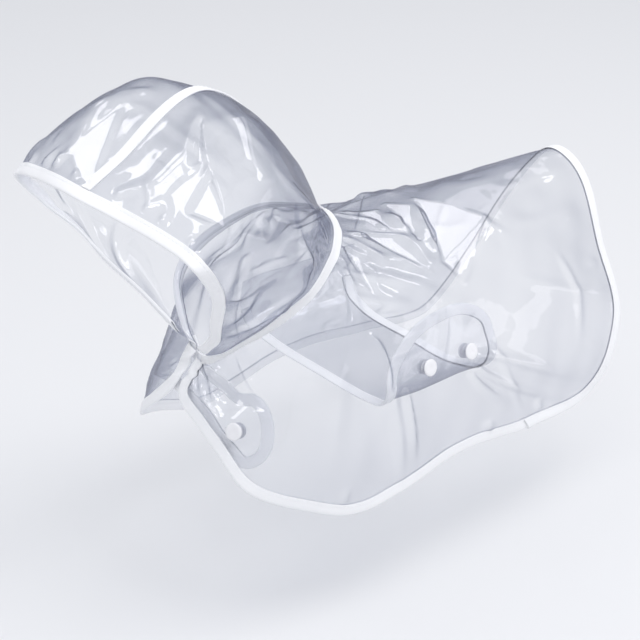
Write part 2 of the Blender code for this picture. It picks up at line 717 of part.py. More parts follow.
def strap_start(across):
    u = across / STRAP_HALF
    drop = (STRAP_ROUND + STRAP_SKEW * u) * (1 - np.sqrt(1 - u * u))
    place = np.interp(drop, [row.down for row in NEAR_SIDE], range(len(NEAR_SIDE)))
    return place / (len(STRAP_ROWS) - 1)


def make_belly_strap():
    """The strap that passes under the belly and closes inside the near side."""
    last = len(STRAP_ROWS) - 1
    make_tab(
        Tab(
            name="belly_strap",
            form=strap_form,
            half=STRAP_HALF,
            start=strap_start,
            round_rows=5,
            straight=np.linspace(len(NEAR_SIDE) - 1, last, STRAP_STRAIGHT_ROWS) / last,
            bound=STRAP_BOUND / last,
            columns=11,
        )
    )


# ---------------------------------------------------------------- press studs

STUD_SIDES = 14
STUD_GAP = 0.5 * MM  # between a stud's flat faces and the curved film
CAP = ((0.0, 5.4), (0.4, 6.2), (0.9, 6.2), (1.4, 5.2), (1.6, 3.0))  # height, radius: mm
SOCKET = ((0.0, 4.0), (0.3, 5.0), (0.8, 5.0), (0.9, 3.8), (1.3, 3.8), (1.4, 5.0), (1.8, 5.0), (2.1, 3.6))
BACK = ((0.0, 4.2), (0.4, 5.6), (0.8, 5.6), (1.3, 3.6))


def make_stud(name, angle, share):
    """A closed press stud: cap outside, socket and stud between the layers, back inside."""
    centre = plain_form(angle, share)
    axis = outward(plain_form, angle, share)
    for part_name, profile, top in (
        ("cap", CAP, FILM / 2 + STUD_GAP + CAP[-1][0] * MM),
        ("socket", SOCKET, -FILM / 2 - STUD_GAP),
        ("back", BACK, -LAP - FILM / 2 - STUD_GAP),
    ):
        rows = [(top + (height - profile[-1][0]) * MM, radius * MM) for height, radius in profile]
        turned_solid(f"{name}_{part_name}", rows, centre, axis)


CHEST_STUD = (149.0, -0.70)  # degrees and share
BELLY_STUDS = (("belly_stud_front", 15.5, -93.0), ("belly_stud_rear", 57.0, -96.0))  # x, z: mm


def make_studs():
    make_stud("chest_stud", *CHEST_STUD)
    for name, x, z in BELLY_STUDS:
        make_stud(name, *on_side(np.array(x * MM), np.array(z * MM), 1, 0.0))


# ---------------------------------------------------------------- build


def clear_scene():
    for old in list(bpy.data.objects):
        bpy.data.objects.remove(old, do_unlink=True)


clear_scene()
make_hood()
make_hood_tape()
make_face_binding()
make_neck_tape()
make_cape()
make_hem_binding()
make_chest_flap()
make_belly_strap()
make_studs()
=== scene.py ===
"""Looks of a small dog's clear hooded raincoat: film, bindings and press studs.

Metres, +Z up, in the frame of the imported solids. The wearer faces -X and isn't shown.
The film is read at an angle round the wearer and a share along the cut, as the solids
are: -1 at the hem, 0 at the neck seam, 1 at the face opening.
"""

from collections import namedtuple
from math import pi

import bmesh
import bpy
import numpy as np
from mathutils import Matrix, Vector


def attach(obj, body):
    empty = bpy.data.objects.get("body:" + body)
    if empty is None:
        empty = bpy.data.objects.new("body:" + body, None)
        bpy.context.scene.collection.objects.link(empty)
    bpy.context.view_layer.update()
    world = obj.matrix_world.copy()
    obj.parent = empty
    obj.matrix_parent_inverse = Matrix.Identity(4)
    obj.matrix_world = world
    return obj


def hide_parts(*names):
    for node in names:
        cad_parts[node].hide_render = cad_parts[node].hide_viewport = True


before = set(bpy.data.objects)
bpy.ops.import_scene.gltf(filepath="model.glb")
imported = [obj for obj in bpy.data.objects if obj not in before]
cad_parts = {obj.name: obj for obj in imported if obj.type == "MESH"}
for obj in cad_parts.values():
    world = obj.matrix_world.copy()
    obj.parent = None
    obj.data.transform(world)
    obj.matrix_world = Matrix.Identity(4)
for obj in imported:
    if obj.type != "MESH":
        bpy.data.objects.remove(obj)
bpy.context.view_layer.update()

MM = 0.001
scene = bpy.context.scene

# ------------------------ sizes

FILM = 0.35 * MM  # the film's wall
BINDING = 8.0 * MM  # how far a binding covers the film
SEAM_TAPE = 9.0 * MM  # width of the tape on the hood's centre seam
NECK_TAPE = 9.0 * MM
TAPE = 0.9 * MM  # thickness of the woven tapes
GAP = 0.3 * MM  # between a flat tape and the film under it
# How far the hood's points are turned, to the rear on the near side, as a share of their y.
HOOD_TURN = {"back_": 0.04, "top_": 0.08, "brim_": 0.07, "face_": 0.05}

NEAR_EDGE = 188.0  # degrees: the cape's near front edge, past the throat
FAR_EDGE = -168.0
CORNER_ANGLE = 16.0  # degrees over which each front corner is rounded
CORNER_SHARE = 0.42  # share of the cut that a rounded corner takes
HOOD_NEAR_EDGE = 176.0  # degrees: where the hood's near half ends at the throat
HOOD_FAR_EDGE = -168.0
NECK_TAPE_END = 184.0  # degrees: the neck tape runs on over the cape's near front
TUCK = 1.3 * MM  # how far in a tab lies where it is sewn
LAP = 4.4 * MM  # how far in a tab lies where a stud holds it


def rows_of(kind, rows):
    """A table, from its rows as plain numbers."""
    return tuple(kind(*row) for row in rows)


Neck = namedtuple("Neck", "angle x out z")
NECK = rows_of(Neck, [  # the neck seam, millimetres
    (0, -9, 0, 4),
    (20, -16, 19, 3),
    (40, -28, 36, 0),
    (60, -44, 48, -7),
    (80, -65, 55, -17),
    (100, -85, 54, -28),
    (120, -99, 47, -38),
    (140, -107, 34, -49),
    (160, -112, 18, -63),
    (180, -113, 0, -74),
])

Cape = namedtuple("Cape", "angle side_x side_out side_z drop_x drop_out drop_z hem_x hem_out hem_z")
CAPE = rows_of(Cape, [  # sections from the neck seam over the body to the hem, millimetres
    (0, 75, 0, -11, 150, 0, -14, 236, 0, -14),
    (14, 72, 22, -15, 148, 27, -22, 239, 27, -33),
    (26, 66, 40, -24, 142, 52, -42, 233, 52, -75),
    (38, 55, 56, -38, 130, 73, -75, 228, 80, -131),
    (50, 38, 66, -50, 94, 84, -104, 187, 90, -180),
    (62, 15, 71, -56, 52, 89, -114, 114, 95, -177),
    (76, -14, 75, -60, 14, 90, -115, 42, 95, -168),
    (90, -45, 76, -64, -28, 90, -120, -20, 95, -178),
    (106, -74, 72, -70, -66, 86, -125, -60, 90, -179),
    (122, -95, 62, -74, -100, 76, -116, -100, 81, -161),
    (140, -108, 45, -78, -118, 57, -108, -128, 62, -144),
    (160, -115, 23, -83, -126, 29, -100, -134, 32, -119),
    (180, -118, 0, -86, -127, 0, -97, -133, 0, -108),
])

Hood = namedtuple(
    "Hood",
    "angle back_x back_out back_z top_x top_out top_z brim_x brim_out brim_z face_x face_out face_z",
)
HOOD = rows_of(Hood, [  # sections from the neck seam over the head to the face, millimetres
    (0, -50, 0, 63, -110, 0, 116, -174, 0, 84, -202, 0, 69),
    (25, -57, 31, 58, -119, 42, 112, -175, 37, 83, -197, 33, 65),
    (45, -68, 52, 48, -130, 69, 98, -173, 67, 77, -192, 61, 60),
    (62, -80, 68, 34, -142, 86, 76, -176, 88, 65, -189, 83, 55),
    (78, -91, 77, 16, -147, 92, 52, -176, 96, 51, -187, 93, 49),
    (95, -101, 77, -2, -143, 89, 27, -165, 90, 29, -174, 87, 31),
    (115, -109, 66, -20, -135, 75, -2, -153, 75, 8, -160, 72, 13),
    (140, -114, 41, -45, -127, 48, -32, -141, 51, -20, -146, 51, -13),
    (165, -115, 17, -63, -121, 20, -57, -125, 22, -49, -127, 22, -46),
    (180, -115, 0, -71, -118, 0, -67, -121, 0, -63, -122, 0, -61),
])

Fold = namedtuple("Fold", "neck_angle hem_angle start end width depth")
FOLDS = rows_of(Fold, [  # the largest folds: widths in degrees, depths in millimetres
    (16, 10, 0, -0.42, 5, 2.4),
    (30, 22, 0, -0.55, 5, 3),
    (42, 33, -0.02, -0.4, 4.5, 2.6),
    (53, 46, 0, -0.5, 4.5, 3),
    (64, 60, -0.02, -0.36, 4.5, 2.4),
    (84, 86, -0.05, -0.95, 6, 3.2),
    (94, 90, -0.2, -1.1, 6, -2.6),
    (108, 112, -0.05, -0.6, 6, 2.2),
    (66, 44, -0.62, -1.05, 4.5, 2.6),
    (70, 54, -0.62, -1.1, 4.5, -2.4),
    (-14, -8, 0, -0.46, 5, 2.6),
    (-27, -20, 0, -0.6, 5, 2.6),
    (-40, -34, -0.02, -0.36, 4.5, 2.8),
    (-55, -50, 0, -0.52, 4.5, 2.6),
    (-70, -64, -0.02, -0.7, 5, 2.4),
    (-88, -92, -0.1, -1, 6, 3),
    (-103, -98, -0.25, -1.1, 6, -2.6),
    (-120, -124, -0.05, -0.6, 6, 2.2),
    (-62, -46, -0.66, -1.1, 4.5, 2.4),
    (27, 27, 0.1, 0.95, 6, 2.4),
    (52, 60, 0, 0.55, 6, 2.2),
    (84, 96, 0, 0.5, 6, 2.2),
    (-24, -30, 0.1, 0.9, 6, 2.4),
    (-55, -66, 0, 0.6, 6, 2.2),
    (-92, -98, 0, 0.5, 6, 2),
])


# ------------------------ the coat's form

STEP_A, STEP_B = 0.5, 0.004  # how far apart a form is read to find its slopes
WALK, WALK_POINTS = 0.72, 37  # how far along the cut a distance is looked for, and how finely
SEARCH_ROUNDS = 12  # rounds that find a place on the coat from its x and z
SEARCH_ANGLE, SEARCH_SHARE = 68.0, -0.5  # where that search starts
SEARCH_TURN, SEARCH_SLIDE = 12.0, 0.2  # how far it moves in one round: degrees and share
FOLD_FULLNESS = 0.8  # power of the sine along a fold; below 1 its ends are blunter
MOST_SLANT = 0.8  # a path's slant to the cut is not taken beyond this cosine
PATH_STEP = 2.0  # degrees between the points of a path round the coat
FINE_POINTS = 720  # points along the coat from which columns are spaced


def column(rows, name):
    """Knots and values of a column, mirrored past 0 and 180 degrees."""
    angles = np.array([row.angle for row in rows], float)
    values = np.array([getattr(row, name) for row in rows], float)
    sign = -1.0 if name.endswith("out") else 1.0
    knots = np.concatenate([-angles[:0:-1], angles, 360.0 - angles[-2::-1]])
    return knots, np.concatenate([sign * values[:0:-1], values, sign * values[-2::-1]])


def eased(t):
    """Rises from 0 to 1 with level ends."""
    return t * t * (3 - 2 * t)


def cubic(t, start, end, leave, arrive):
    """A curve from start to end; leave and arrive are how it runs there, over its whole span."""
    first = (1 + 2 * t) * (1 - t) ** 2 * start + t * (1 - t) ** 2 * leave
    return first + eased(t) * end + t * t * (t - 1) * arrive


def smooth(knots, values, at):
    """A cubic curve through the knots, read at the given places."""
    rates = np.gradient(values, knots)
    i = np.clip(np.searchsorted(knots, at) - 1, 0, len(knots) - 2)
    span = knots[i + 1] - knots[i]
    t = (at - knots[i]) / span
    return cubic(t, values[i], values[i + 1], span * rates[i], span * rates[i + 1])


def section_points(rows, stem, angle):
    """One control point of the sections at each angle, in metres."""
    x, out, z = (smooth(*column(rows, stem + axis), angle) for axis in ("x", "out", "z"))
    return np.stack([x, -out, z], -1) * MM


def hood_points(stem, angle):
    """A hood control point, moved back on the near side and forward on the far side."""
    points = section_points(HOOD, stem, angle)
    points[..., 0] -= HOOD_TURN[stem] * points[..., 1]
    return points


def through(chain, place):
    """The smooth curve through a chain of points, read at a place from 0 to its last.

    Its direction at a point leans to the nearer neighbour, so uneven chains don't loop.
    """
    steps = np.diff(chain, axis=0)
    lengths = np.linalg.norm(steps, axis=-1, keepdims=True)
    heads = steps / lengths
    before, after = lengths[:-1], lengths[1:]
    inner = (heads[:-1] * after + heads[1:] * before) / (before + after)
    heads = np.concatenate([heads[:1], inner, heads[-1:]])
    i = np.clip(np.floor(place).astype(int), 0, len(chain) - 2)
    each = np.arange(chain.shape[1])
    span = lengths[i, each]
    leave, arrive = span * heads[i, each], span * heads[i + 1, each]
    return cubic((place - i)[:, None], chain[i, each], chain[i + 1, each], leave, arrive)


def matched(a, b):
    """Two places as arrays of one shape."""
    return np.broadcast_arrays(np.asarray(a, float), np.asarray(b, float))


def plain_form(angle, share):
    """Points of the coat's middle surface without its folds."""
    angle, share = matched(angle, share)
    shape = angle.shape
    angle, share = angle.ravel(), share.ravel()
    chain = [section_points(CAPE, stem, angle) for stem in ("hem_", "drop_", "side_")]
    chain += [section_points(NECK, "", angle)]
    chain += [hood_points(stem, angle) for stem in HOOD_TURN]
    place = 3 + np.where(share > 0, len(HOOD_TURN), 3) * share
    return through(np.stack(chain), place).reshape(shape + (3,))


def unit(vectors):
    """The same directions at length 1."""
    return vectors / np.linalg.norm(vectors, axis=-1, keepdims=True)


def slopes(form, a, b):
    """How a form runs on, for each unit of its first place and of its second."""
    across = (form(a + STEP_A, b) - form(a - STEP_A, b)) / (2 * STEP_A)
    along = (form(a, b + STEP_B) - form(a, b - STEP_B)) / (2 * STEP_B)
    return across, along


def outward(form, a, b):
    """Unit normals of a form, pointing away from the wearer."""
    across, along = slopes(form, a, b)
    return unit(np.cross(along, across))


def moved_out(form, a, b, lift):
    """Points of a form, moved out along its normals."""
    return form(a, b) + outward(form, a, b) * np.asarray(lift)[..., None]


def fold_height(angle, share):
    """How far the folds lift or sink the film, in metres."""
    height = np.zeros(np.broadcast(angle, share).shape)
    for fold in FOLDS:
        path = fold.neck_angle + (fold.hem_angle - fold.neck_angle) * np.abs(share)
        across = np.exp(-(((angle - path) / fold.width) ** 2))
        along = np.clip((share - fold.start) / (fold.end - fold.start), 0, 1)
        height += fold.depth * MM * across * np.sin(pi * along) ** FOLD_FULLNESS
    return height


# ------------------------ creases of the film

Crease = namedtuple(
    "Crease", "angle_a share_a angle_m share_m angle_b share_b wide_a wide_b lean depth rise"
)
# Each crease runs through three places on the coat. Its width grows from wide_a to wide_b; lean
# makes one side wider than the other, depth is how far it stands out (millimetres), and rise is
# the share of its length over which it rises.
HOOD_CREASES = rows_of(Crease, [
    (9, 0.55, 36, 0.625, 64, 0.655, 9, 14, -0.35, 3, 0.2),
    (64, 0.65, 77, 0.47, 80, 0.27, 7, 9, 0.2, 1.8, 0.15),
    (64, 0.65, 68, 0.71, 73, 0.79, 5, 6, 0, 1.4, 0.15),
    (44, 0.42, 53, 0.33, 42, 0.06, 7, 7, 0.3, 2.2, 0.35),
    (143, 0.72, 109, 0.55, 84, 0.34, 5, 8, 0.2, 1.8, 0.25),
    (152, 0.61, 117, 0.39, 76, 0.14, 5, 7, -0.2, 1.7, 0.25),
    (124, 0.93, 92, 0.73, 84, 0.52, 5, 7, 0, 1.5, 0.25),
    (135, 0.5, 112, 0.3, 95, 0.1, 5, 5, 0.2, 1.3, 0.25),
    (67, 0.3, 75, 0.26, 72, 0.07, 5, 5, 0.2, 1.8, 0.35),
    (15, 0.92, 19, 0.84, 27, 0.77, 5, 8, 0.2, 1.8, 0.3),
    (33, 0.91, 34, 0.84, 36, 0.78, 4, 6, -0.2, 1.6, 0.3),
    (43, 0.91, 43, 0.88, 43, 0.85, 3, 4, 0.2, 1, 0.3),
    (59, 0.91, 59, 0.85, 60, 0.77, 4, 6, 0, 1.5, 0.3),
    (12, 0.45, 18, 0.26, 11, 0.05, 7, 7, 0.2, 1.5, 0.35),
    (106, 0.76, 100, 0.56, 88, 0.38, 5, 7, 0.3, 2.2, 0.25),
    (65, 0.29, 73, 0.27, 76, 0.1, 3, 5, 0.4, 2.4, 0.3),
    (-44, 0.92, -39, 0.83, -33, 0.75, 3, 6, -0.3, 1.8, 0.25),
    (-35, 0.91, -28, 0.82, -20, 0.72, 3, 5, 0.3, 1.5, 0.25),
    (-26, 0.6, -18, 0.57, -3, 0.58, 4, 6, 0.3, 1.6, 0.3),
])
CAPE_CREASES = rows_of(Crease, [
    (2, -0.03, 10, -0.13, 21, -0.21, 2.5, 7, 0.2, 1.8, 0.12),
    (-5, -0.05, 12, -0.2, 30, -0.28, 3, 9, 0.2, 2.2, 0.15),
    (0, -0.32, 28, -0.32, 42, -0.43, 8, 12, 0.4, 2.6, 0.3),
    (8, -0.38, 20, -0.5, 28, -0.63, 6, 8, -0.3, 1.6, 0.3),
    (28, -0.03, 28, -0.2, 43, -0.3, 2.5, 8, 0.3, 2.2, 0.12),
    (34, -0.02, 37, -0.11, 52, -0.2, 2.5, 6, 0.2, 1.8, 0.12),
    (42, -0.02, 51, -0.1, 68, -0.23, 2.5, 7, 0.3, 2.2, 0.12),
    (49, -0.02, 68, -0.13, 86, -0.3, 2.2, 6, 0.2, 2, 0.12),
    (59, -0.03, 78, -0.12, 104, -0.13, 3, 4, 0.2, 1.4, 0.15),
    (63, -0.04, 85, -0.19, 106, -0.19, 3, 4, 0.2, 1.6, 0.15),
    (82, -0.28, 84, -0.44, 93, -0.72, 5, 7, -0.3, 3.4, 0.25),
    (82, -0.4, 76, -0.43, 62, -0.44, 5, 5, 0.2, 1.4, 0.25),
    (85, -0.52, 88, -0.7, 88, -1.02, 5, 7, 0.4, 3.6, 0.25),
    (81, -0.55, 84, -0.73, 85, -0.98, 4, 5, -0.3, 2.8, 0.25),
    (58, -0.6, 52, -0.72, 48, -1, 3, 7, 0.3, 3.4, 0.12),
    (59, -0.62, 57, -0.78, 52, -1.02, 3, 6, 0.3, 3.2, 0.12),
    (60, -0.63, 61, -0.74, 60, -0.86, 3, 6, -0.3, 2.4, 0.15),
    (51, -0.6, 56, -0.76, 62, -0.96, 3, 3, 0.4, 1.8, 0.2),
    (51, -0.35, 63, -0.5, 75, -0.6, 4, 5, 0.3, 1.5, 0.3),
    (157, -0.63, 141, -0.505, 124, -0.515, 2.5, 3, 0.2, 1.3, 0.25),
    (147, -0.1, 140, -0.33, 126, -0.49, 3, 5, 0.2, 1.6, 0.2),
    (71, -0.52, 76, -0.53, 83, -0.54, 4, 4, 0.2, 1.2, 0.25),
    (176, -0.05, 168, -0.3, 160, -0.55, 4, 6, 0.2, 1.5, 0.2),
    (150, -0.86, 142, -0.72, 135, -0.6, 4, 5, 0, 1.2, 0.3),
    (96, -0.3, 104, -0.5, 112, -0.88, 8, 12, 0.2, 1.9, 0.3),
    (118, -0.28, 122, -0.5, 124, -0.78, 6, 9, -0.2, 1.5, 0.3),
    (24, -0.62, 22, -0.78, 20, -0.97, 7, 9, 0.2, 1.8, 0.35),
    (36, -0.58, 36, -0.78, 34, -0.98, 7, 8, -0.2, 1.6, 0.35),
    (12, -0.6, 10, -0.8, 8, -0.98, 6, 8, 0.2, 1.4, 0.35),
    (68, -0.955, 68, -0.92, 67, -0.88, 4, 4.5, 0, 2.4, 0.4),
    (58, -0.955, 57, -0.925, 56, -0.89, 4, 4.5, 0, 2.2, 0.4),
    (108, -0.96, 107, -0.91, 106, -0.85, 4, 5, 0, 1.2, 0.4),
    (30, -0.95, 30, -0.92, 31, -0.86, 4, 5, 0, 1.2, 0.4),
    (178, -0.1, 172, -0.28, 165, -0.42, 3, 5, 0.4, 1.8, 0.2),
    (173, -0.3, 165, -0.48, 158, -0.62, 3, 4, -0.4, 1.6, 0.2),
    (178, -0.44, 172, -0.58, 166, -0.72, 3, 4, 0.4, 1.5, 0.2),
    (163, -0.42, 160, -0.47, 157, -0.54, 2.5, 3, 0, 1.2, 0.3),
    (171, -0.2, 162, -0.34, 152, -0.42, 3, 5, 0.3, 1.7, 0.2),
    (170, -0.62, 163, -0.67, 157, -0.76, 2.5, 4, -0.3, 1.4, 0.25),
    (29, -0.76, 36, -0.82, 46, -0.88, 4, 6, 0.3, 1.8, 0.3),
    (181, -0.06, 176, -0.2, 168, -0.31, 3, 4, -0.4, 2.2, 0.15),
    (176, -0.08, 166, -0.2, 160, -0.36, 3, 4.5, 0.4, 2, 0.15),
    (183, -0.2, 179, -0.38, 176, -0.5, 3, 3.5, 0.4, 2, 0.2),
    (184, -0.34, 180, -0.52, 174, -0.68, 3, 4, -0.3, 1.8, 0.2),
    (169, -0.4, 166, -0.5, 166, -0.58, 3, 3, 0.3, 1.6, 0.3),
])


def mirrored(row, turn, stretch, ease):
    """A like crease on the far side, turned, stretched and shallower."""
    return row._replace(
        angle_a=-row.angle_a * stretch - turn,
        angle_m=-row.angle_m * stretch + turn,
        angle_b=-row.angle_b * stretch - turn,
        lean=-row.lean,
        depth=row.depth * ease,
    )


SPINE_CREASES = 2  # the first of the cape's creases lie by the spine, and have no like
CREASES = HOOD_CREASES + CAPE_CREASES
CREASES += tuple(mirrored(row, turn=3.0, stretch=0.96, ease=0.9) for row in HOOD_CREASES)
CREASES += tuple(
    mirrored(row, turn=-2.5, stretch=0.95, ease=0.9) for row in CAPE_CREASES[SPINE_CREASES:]
)

Facet = namedtuple("Facet", "angles shares lifts")
# A facet is a stretch where the pulled film lies flat between three places on the coat. A lift is
# how far a corner stands off the plain form (millimetres).
CAPE_FACETS = rows_of(Facet, [
    ((2, 4, 20), (-0.125, -0.19, -0.2), (1, 2, -1)),
    ((0, 6, 28), (-0.235, -0.295, -0.265), (2, 1, -1)),
    ((2, 20, 36.5), (-0.33, -0.53, -0.33), (2, 2, 0)),
    ((20, 36.5, 42), (-0.53, -0.33, -0.41), (2, 0, 2)),
    ((24, 26, 42), (-0.105, -0.195, -0.285), (-2, 0, 3)),
    ((41, 45, 68), (-0.035, -0.095, -0.225), (-2, 0, 2)),
])
HOOD_FACETS = rows_of(Facet, [
    ((20, 33, 37), (0.585, 0.655, 0.637), (0.5, 0, 2)),
    ((37, 36, 44), (0.637, 0.75, 0.71), (1.2, 0, 0)),
    ((42, 47, 64), (0.65, 0.75, 0.66), (-2, -3, 2)),
])
FAR_FACET = Facet((-28, -18, -1), (0.77, 0.635, 0.915), (2, 1, -1))


def mirrored_facet(row, turn, ease):
    """A like facet on the other side, turned on by an angle and with lower corners."""
    angle, share, lift = np.array(row, float)
    return Facet(-angle - turn, share, lift * ease)


FACETS = CAPE_FACETS + HOOD_FACETS + (FAR_FACET,)
FACETS += tuple(mirrored_facet(row, turn=25.0, ease=0.5) for row in CAPE_FACETS)
FACETS += tuple(mirrored_facet(row, turn=40.0, ease=0.5) for row in HOOD_FACETS)
FACET_EDGE = 3 * MM  # how far past its edges a facet fades out
FACET_REACH = 12 * MM  # how far round its corners points are looked at


def facet_corners(row):
    """A facet's corners, and the unit normal of its plane."""
    angle, share, lift = np.array(row, float)
    corners = moved_out(plain_form, angle, share, lift * MM)
    return corners, unit(np.cross(corners[1] - corners[0], corners[2] - corners[0]))


def close_to(places, points, reach):
    """Which points lie in the box round some places, or within reach of it on every axis."""
    low, high = places.min(0) - reach, places.max(0) + reach
    return np.nonzero(((points > low) & (points < high)).all(1))[0]


def from_segment(points, start, step):
    """The nearest place on a segment to each point (0 to 1), and the way from there to it."""
    place = np.clip((points - start) @ step / (step @ step), 0, 1)
    return place, points - start - place[:, None] * step


def lay_flat(height, points, ways, corners, normal):
    """Changes the heights inside a facet, so that the film is flat there."""
    near = close_to(corners, points, FACET_REACH)
    lift = ((corners[0] - points[near]) @ normal) / (ways[near] @ normal)
    at = points[near] + ways[near] * lift[:, None]
    inside = np.full(len(near), True)
    past = np.full(len(near), FACET_REACH)
    for start, end in zip(corners, np.roll(corners, -1, axis=0)):
        inside &= (at - start) @ np.cross(normal, end - start) > 0
        away = from_segment(at, start, end - start)[1]
        past = np.minimum(past, np.linalg.norm(away, axis=1))
    share = np.where(inside, 1, 1 - np.clip(past / FACET_EDGE, 0, 1))
    height[near] += (lift - height[near]) * eased(share)


CREASE_POINTS = 24  # points along a crease's line
CREASE_REACH = 2.2  # how far either side a crease is read, in widths
CREASE_FALL = 0.45  # share of its length over which a crease fades out
SOFTNESS = 0.14  # how round a crease's tip and foot are, as a share of its width


def through_three(first, middle, last, t):
    """The curve through three values that are evenly spaced in t."""
    return first * (1 - t) * (1 - 2 * t) + middle * 4 * t * (1 - t) + last * t * (2 * t - 1)


def crease_line(row):
    """Points along a crease, on the plain form."""
    t = np.linspace(0, 1, CREASE_POINTS)
    angle = through_three(row.angle_a, row.angle_m, row.angle_b, t)
    share = through_three(row.share_a, row.share_m, row.share_b, t)
    return plain_form(angle, share), outward(plain_form, angle, share)


def hinge(v):
    """Level below 0 and rising with v above it, with a rounded corner."""
    return (v + np.sqrt(v * v + SOFTNESS**2)) / 2


def crease_height(points, row, line, normal):
    """How far one crease lifts the film at the points."""
    height = np.zeros(len(points))
    near = close_to(line, points, CREASE_REACH * max(row.wide_a, row.wide_b) * MM)
    if not len(near):
        return height
    best = np.full(len(near), np.inf)
    side = np.zeros(len(near))
    place = np.zeros(len(near))
    for k in range(CREASE_POINTS - 1):
        step = line[k + 1] - line[k]
        t, away = from_segment(points[near], line[k], step)
        distance = np.linalg.norm(away, axis=1)
        closer = distance < best
        best = np.where(closer, distance, best)
        side = np.where(closer, np.sign(away @ np.cross(normal[k], step)), side)
        place = np.where(closer, (k + t) / (CREASE_POINTS - 1), place)
    width = (row.wide_a + (row.wide_b - row.wide_a) * place) * MM * (1 + row.lean * side)
    across = hinge(1 - np.sqrt((best / width) ** 2 + SOFTNESS**2)) / hinge(1 - SOFTNESS)
    rise = np.clip(place / row.rise, 0, 1)
    fall = np.clip((1 - place) / CREASE_FALL, 0, 1)
    height[near] = row.depth * MM * across * eased(rise) * eased(fall)
    return height


CREASE_LINES = [(row, *crease_line(row)) for row in CREASES]
FACET_PLANES = [facet_corners(row) for row in FACETS]

WAVES, WAVE_SEED = 14, 5  # how many waves, and the seed of their directions
WAVE_HEIGHT, WAVE_SHORT, WAVE_LONG = 0.35 * MM, 28 * MM, 75 * MM  # height and lengths
TAB_RIPPLE = 1.8  # the flap and the strap are slacker, and wave this much more


def ripples(points):
    """Slight waves all over the film: plane waves in fixed random directions."""
    rng = np.random.default_rng(WAVE_SEED)
    height = np.zeros(points.shape[:-1])
    for length in np.linspace(WAVE_SHORT, WAVE_LONG, WAVES):
        way = unit(rng.normal(size=3))
        height += np.sin(points @ way * 2 * pi / length + rng.uniform(0, 2 * pi))
    return height * WAVE_HEIGHT / np.sqrt(WAVES / 2)


def coat(angle, share):
    """Points of the folded and creased film."""
    angle, share = matched(angle, share)
    points = plain_form(angle, share).reshape(-1, 3)
    ways = outward(plain_form, angle, share).reshape(-1, 3)
    height = fold_height(angle, share).ravel()
    for row, line, normal in CREASE_LINES:
        height += crease_height(points, row, line, normal)
    height += ripples(points)
    for corners, normal in FACET_PLANES:
        lay_flat(height, points, ways, corners, normal)
    return (points + ways * height[:, None]).reshape(angle.shape + (3,))


# ------------------------ paths on the coat


def run_of(path):
    """How far along a path each of its points is."""
    steps = np.linalg.norm(np.diff(path, axis=0), axis=-1)
    return np.concatenate([np.zeros_like(steps[:1]), np.cumsum(steps, axis=0)])


def share_step(angle, share, distance):
    """The share that lies the given distance further along the cut."""
    angle, share, distance = np.broadcast_arrays(angle, share, distance)
    places = share.ravel() + np.sign(distance).ravel() * np.linspace(0, WALK, WALK_POINTS)[:, None]
    run = run_of(plain_form(angle.ravel(), places))
    wanted = np.abs(distance).ravel()
    found = [np.interp(wanted[k], run[:, k], places[:, k]) for k in range(angle.size)]
    return np.array(found).reshape(angle.shape)


def angle_step(angle, share, distance):
    """The angle that lies the given distance further round the coat."""
    across, _ = slopes(plain_form, angle, share)
    return angle + distance / np.linalg.norm(across, axis=-1)


def walked(path):
    """The direction of a path at each of its points, which may be unevenly spaced."""
    return unit(np.gradient(path, run_of(path), axis=0))


def slant(angle, share):
    """How much longer a way square to a path is when it is walked along the cut."""
    _, along = slopes(plain_form, angle, share)
    cosine = (walked(plain_form(angle, share)) * unit(along)).sum(-1)
    return 1 / np.sqrt(1 - np.clip(np.abs(cosine), 0, MOST_SLANT) ** 2)


def inset(form, a, b, distance):
    """A path on a form, moved square to itself along the form, to its left.

    Left is as seen from outside, walking from the first point to the last.
    """
    left = np.cross(outward(form, a, b), walked(form(a, b)))
    back = np.linalg.pinv(np.stack(slopes(form, a, b), -1))
    turn, slide = (back @ left[..., None])[..., 0].T
    return a + distance * turn, b + distance * slide


def on_side(x, z, side, lift):
    """The plain form's place at a given x and z on one side (1 near, -1 far), moved out by lift."""
    angle = np.full(np.shape(x), SEARCH_ANGLE * side)
    share = np.full(np.shape(x), SEARCH_SHARE)
    for _ in range(SEARCH_ROUNDS):
        miss = np.stack([x, z], -1) - moved_out(plain_form, angle, share, lift)[..., [0, 2]]
        seen = np.stack(slopes(plain_form, angle, share), -1)[..., [0, 2], :]
        turn, slide = np.moveaxis(np.linalg.solve(seen, miss[..., None])[..., 0], -1, 0)
        angle = angle + np.clip(turn, -SEARCH_TURN, SEARCH_TURN)
        share = share + np.clip(slide, -SEARCH_SLIDE, SEARCH_SLIDE)
    return angle, share


def angles(start, end):
    """Angles of a path round the coat, from start to end."""
    return np.linspace(start, end, round(abs(end - start) / PATH_STEP) + 1)


def even_angles(start, end, share, count):
    """Angles from start to end, evenly spaced along the coat at a share."""
    fine = np.linspace(start, end, FINE_POINTS)
    run = run_of(plain_form(fine, np.full_like(fine, share)))
    return np.interp(np.linspace(0, run[-1], count), run, fine)


def corner_turn(angle):
    """How far the edge has turned from the hem to a front edge, in radians; minus on the far side."""
    near = np.clip((angle - NEAR_EDGE + CORNER_ANGLE) / CORNER_ANGLE, 0, 1)
    far = np.clip((FAR_EDGE + CORNER_ANGLE - angle) / CORNER_ANGLE, 0, 1)
    return np.arcsin(near - far)


def cape_edge(angle):
    """The share of the cape's lower edge, which rises round both front corners."""
    return -1 + CORNER_SHARE * (1 - np.cos(corner_turn(angle)))


# ------------------------ materials

RIBS, THREADS = 0.3925, 0.55  # scales of the weave's waves on the UVs: 0.8 and 0.57 mm apart


def new_material(name):
    """A material with no nodes yet."""
    made = bpy.data.materials.new(name)
    made.use_nodes = True
    made.node_tree.nodes.clear()
    return made


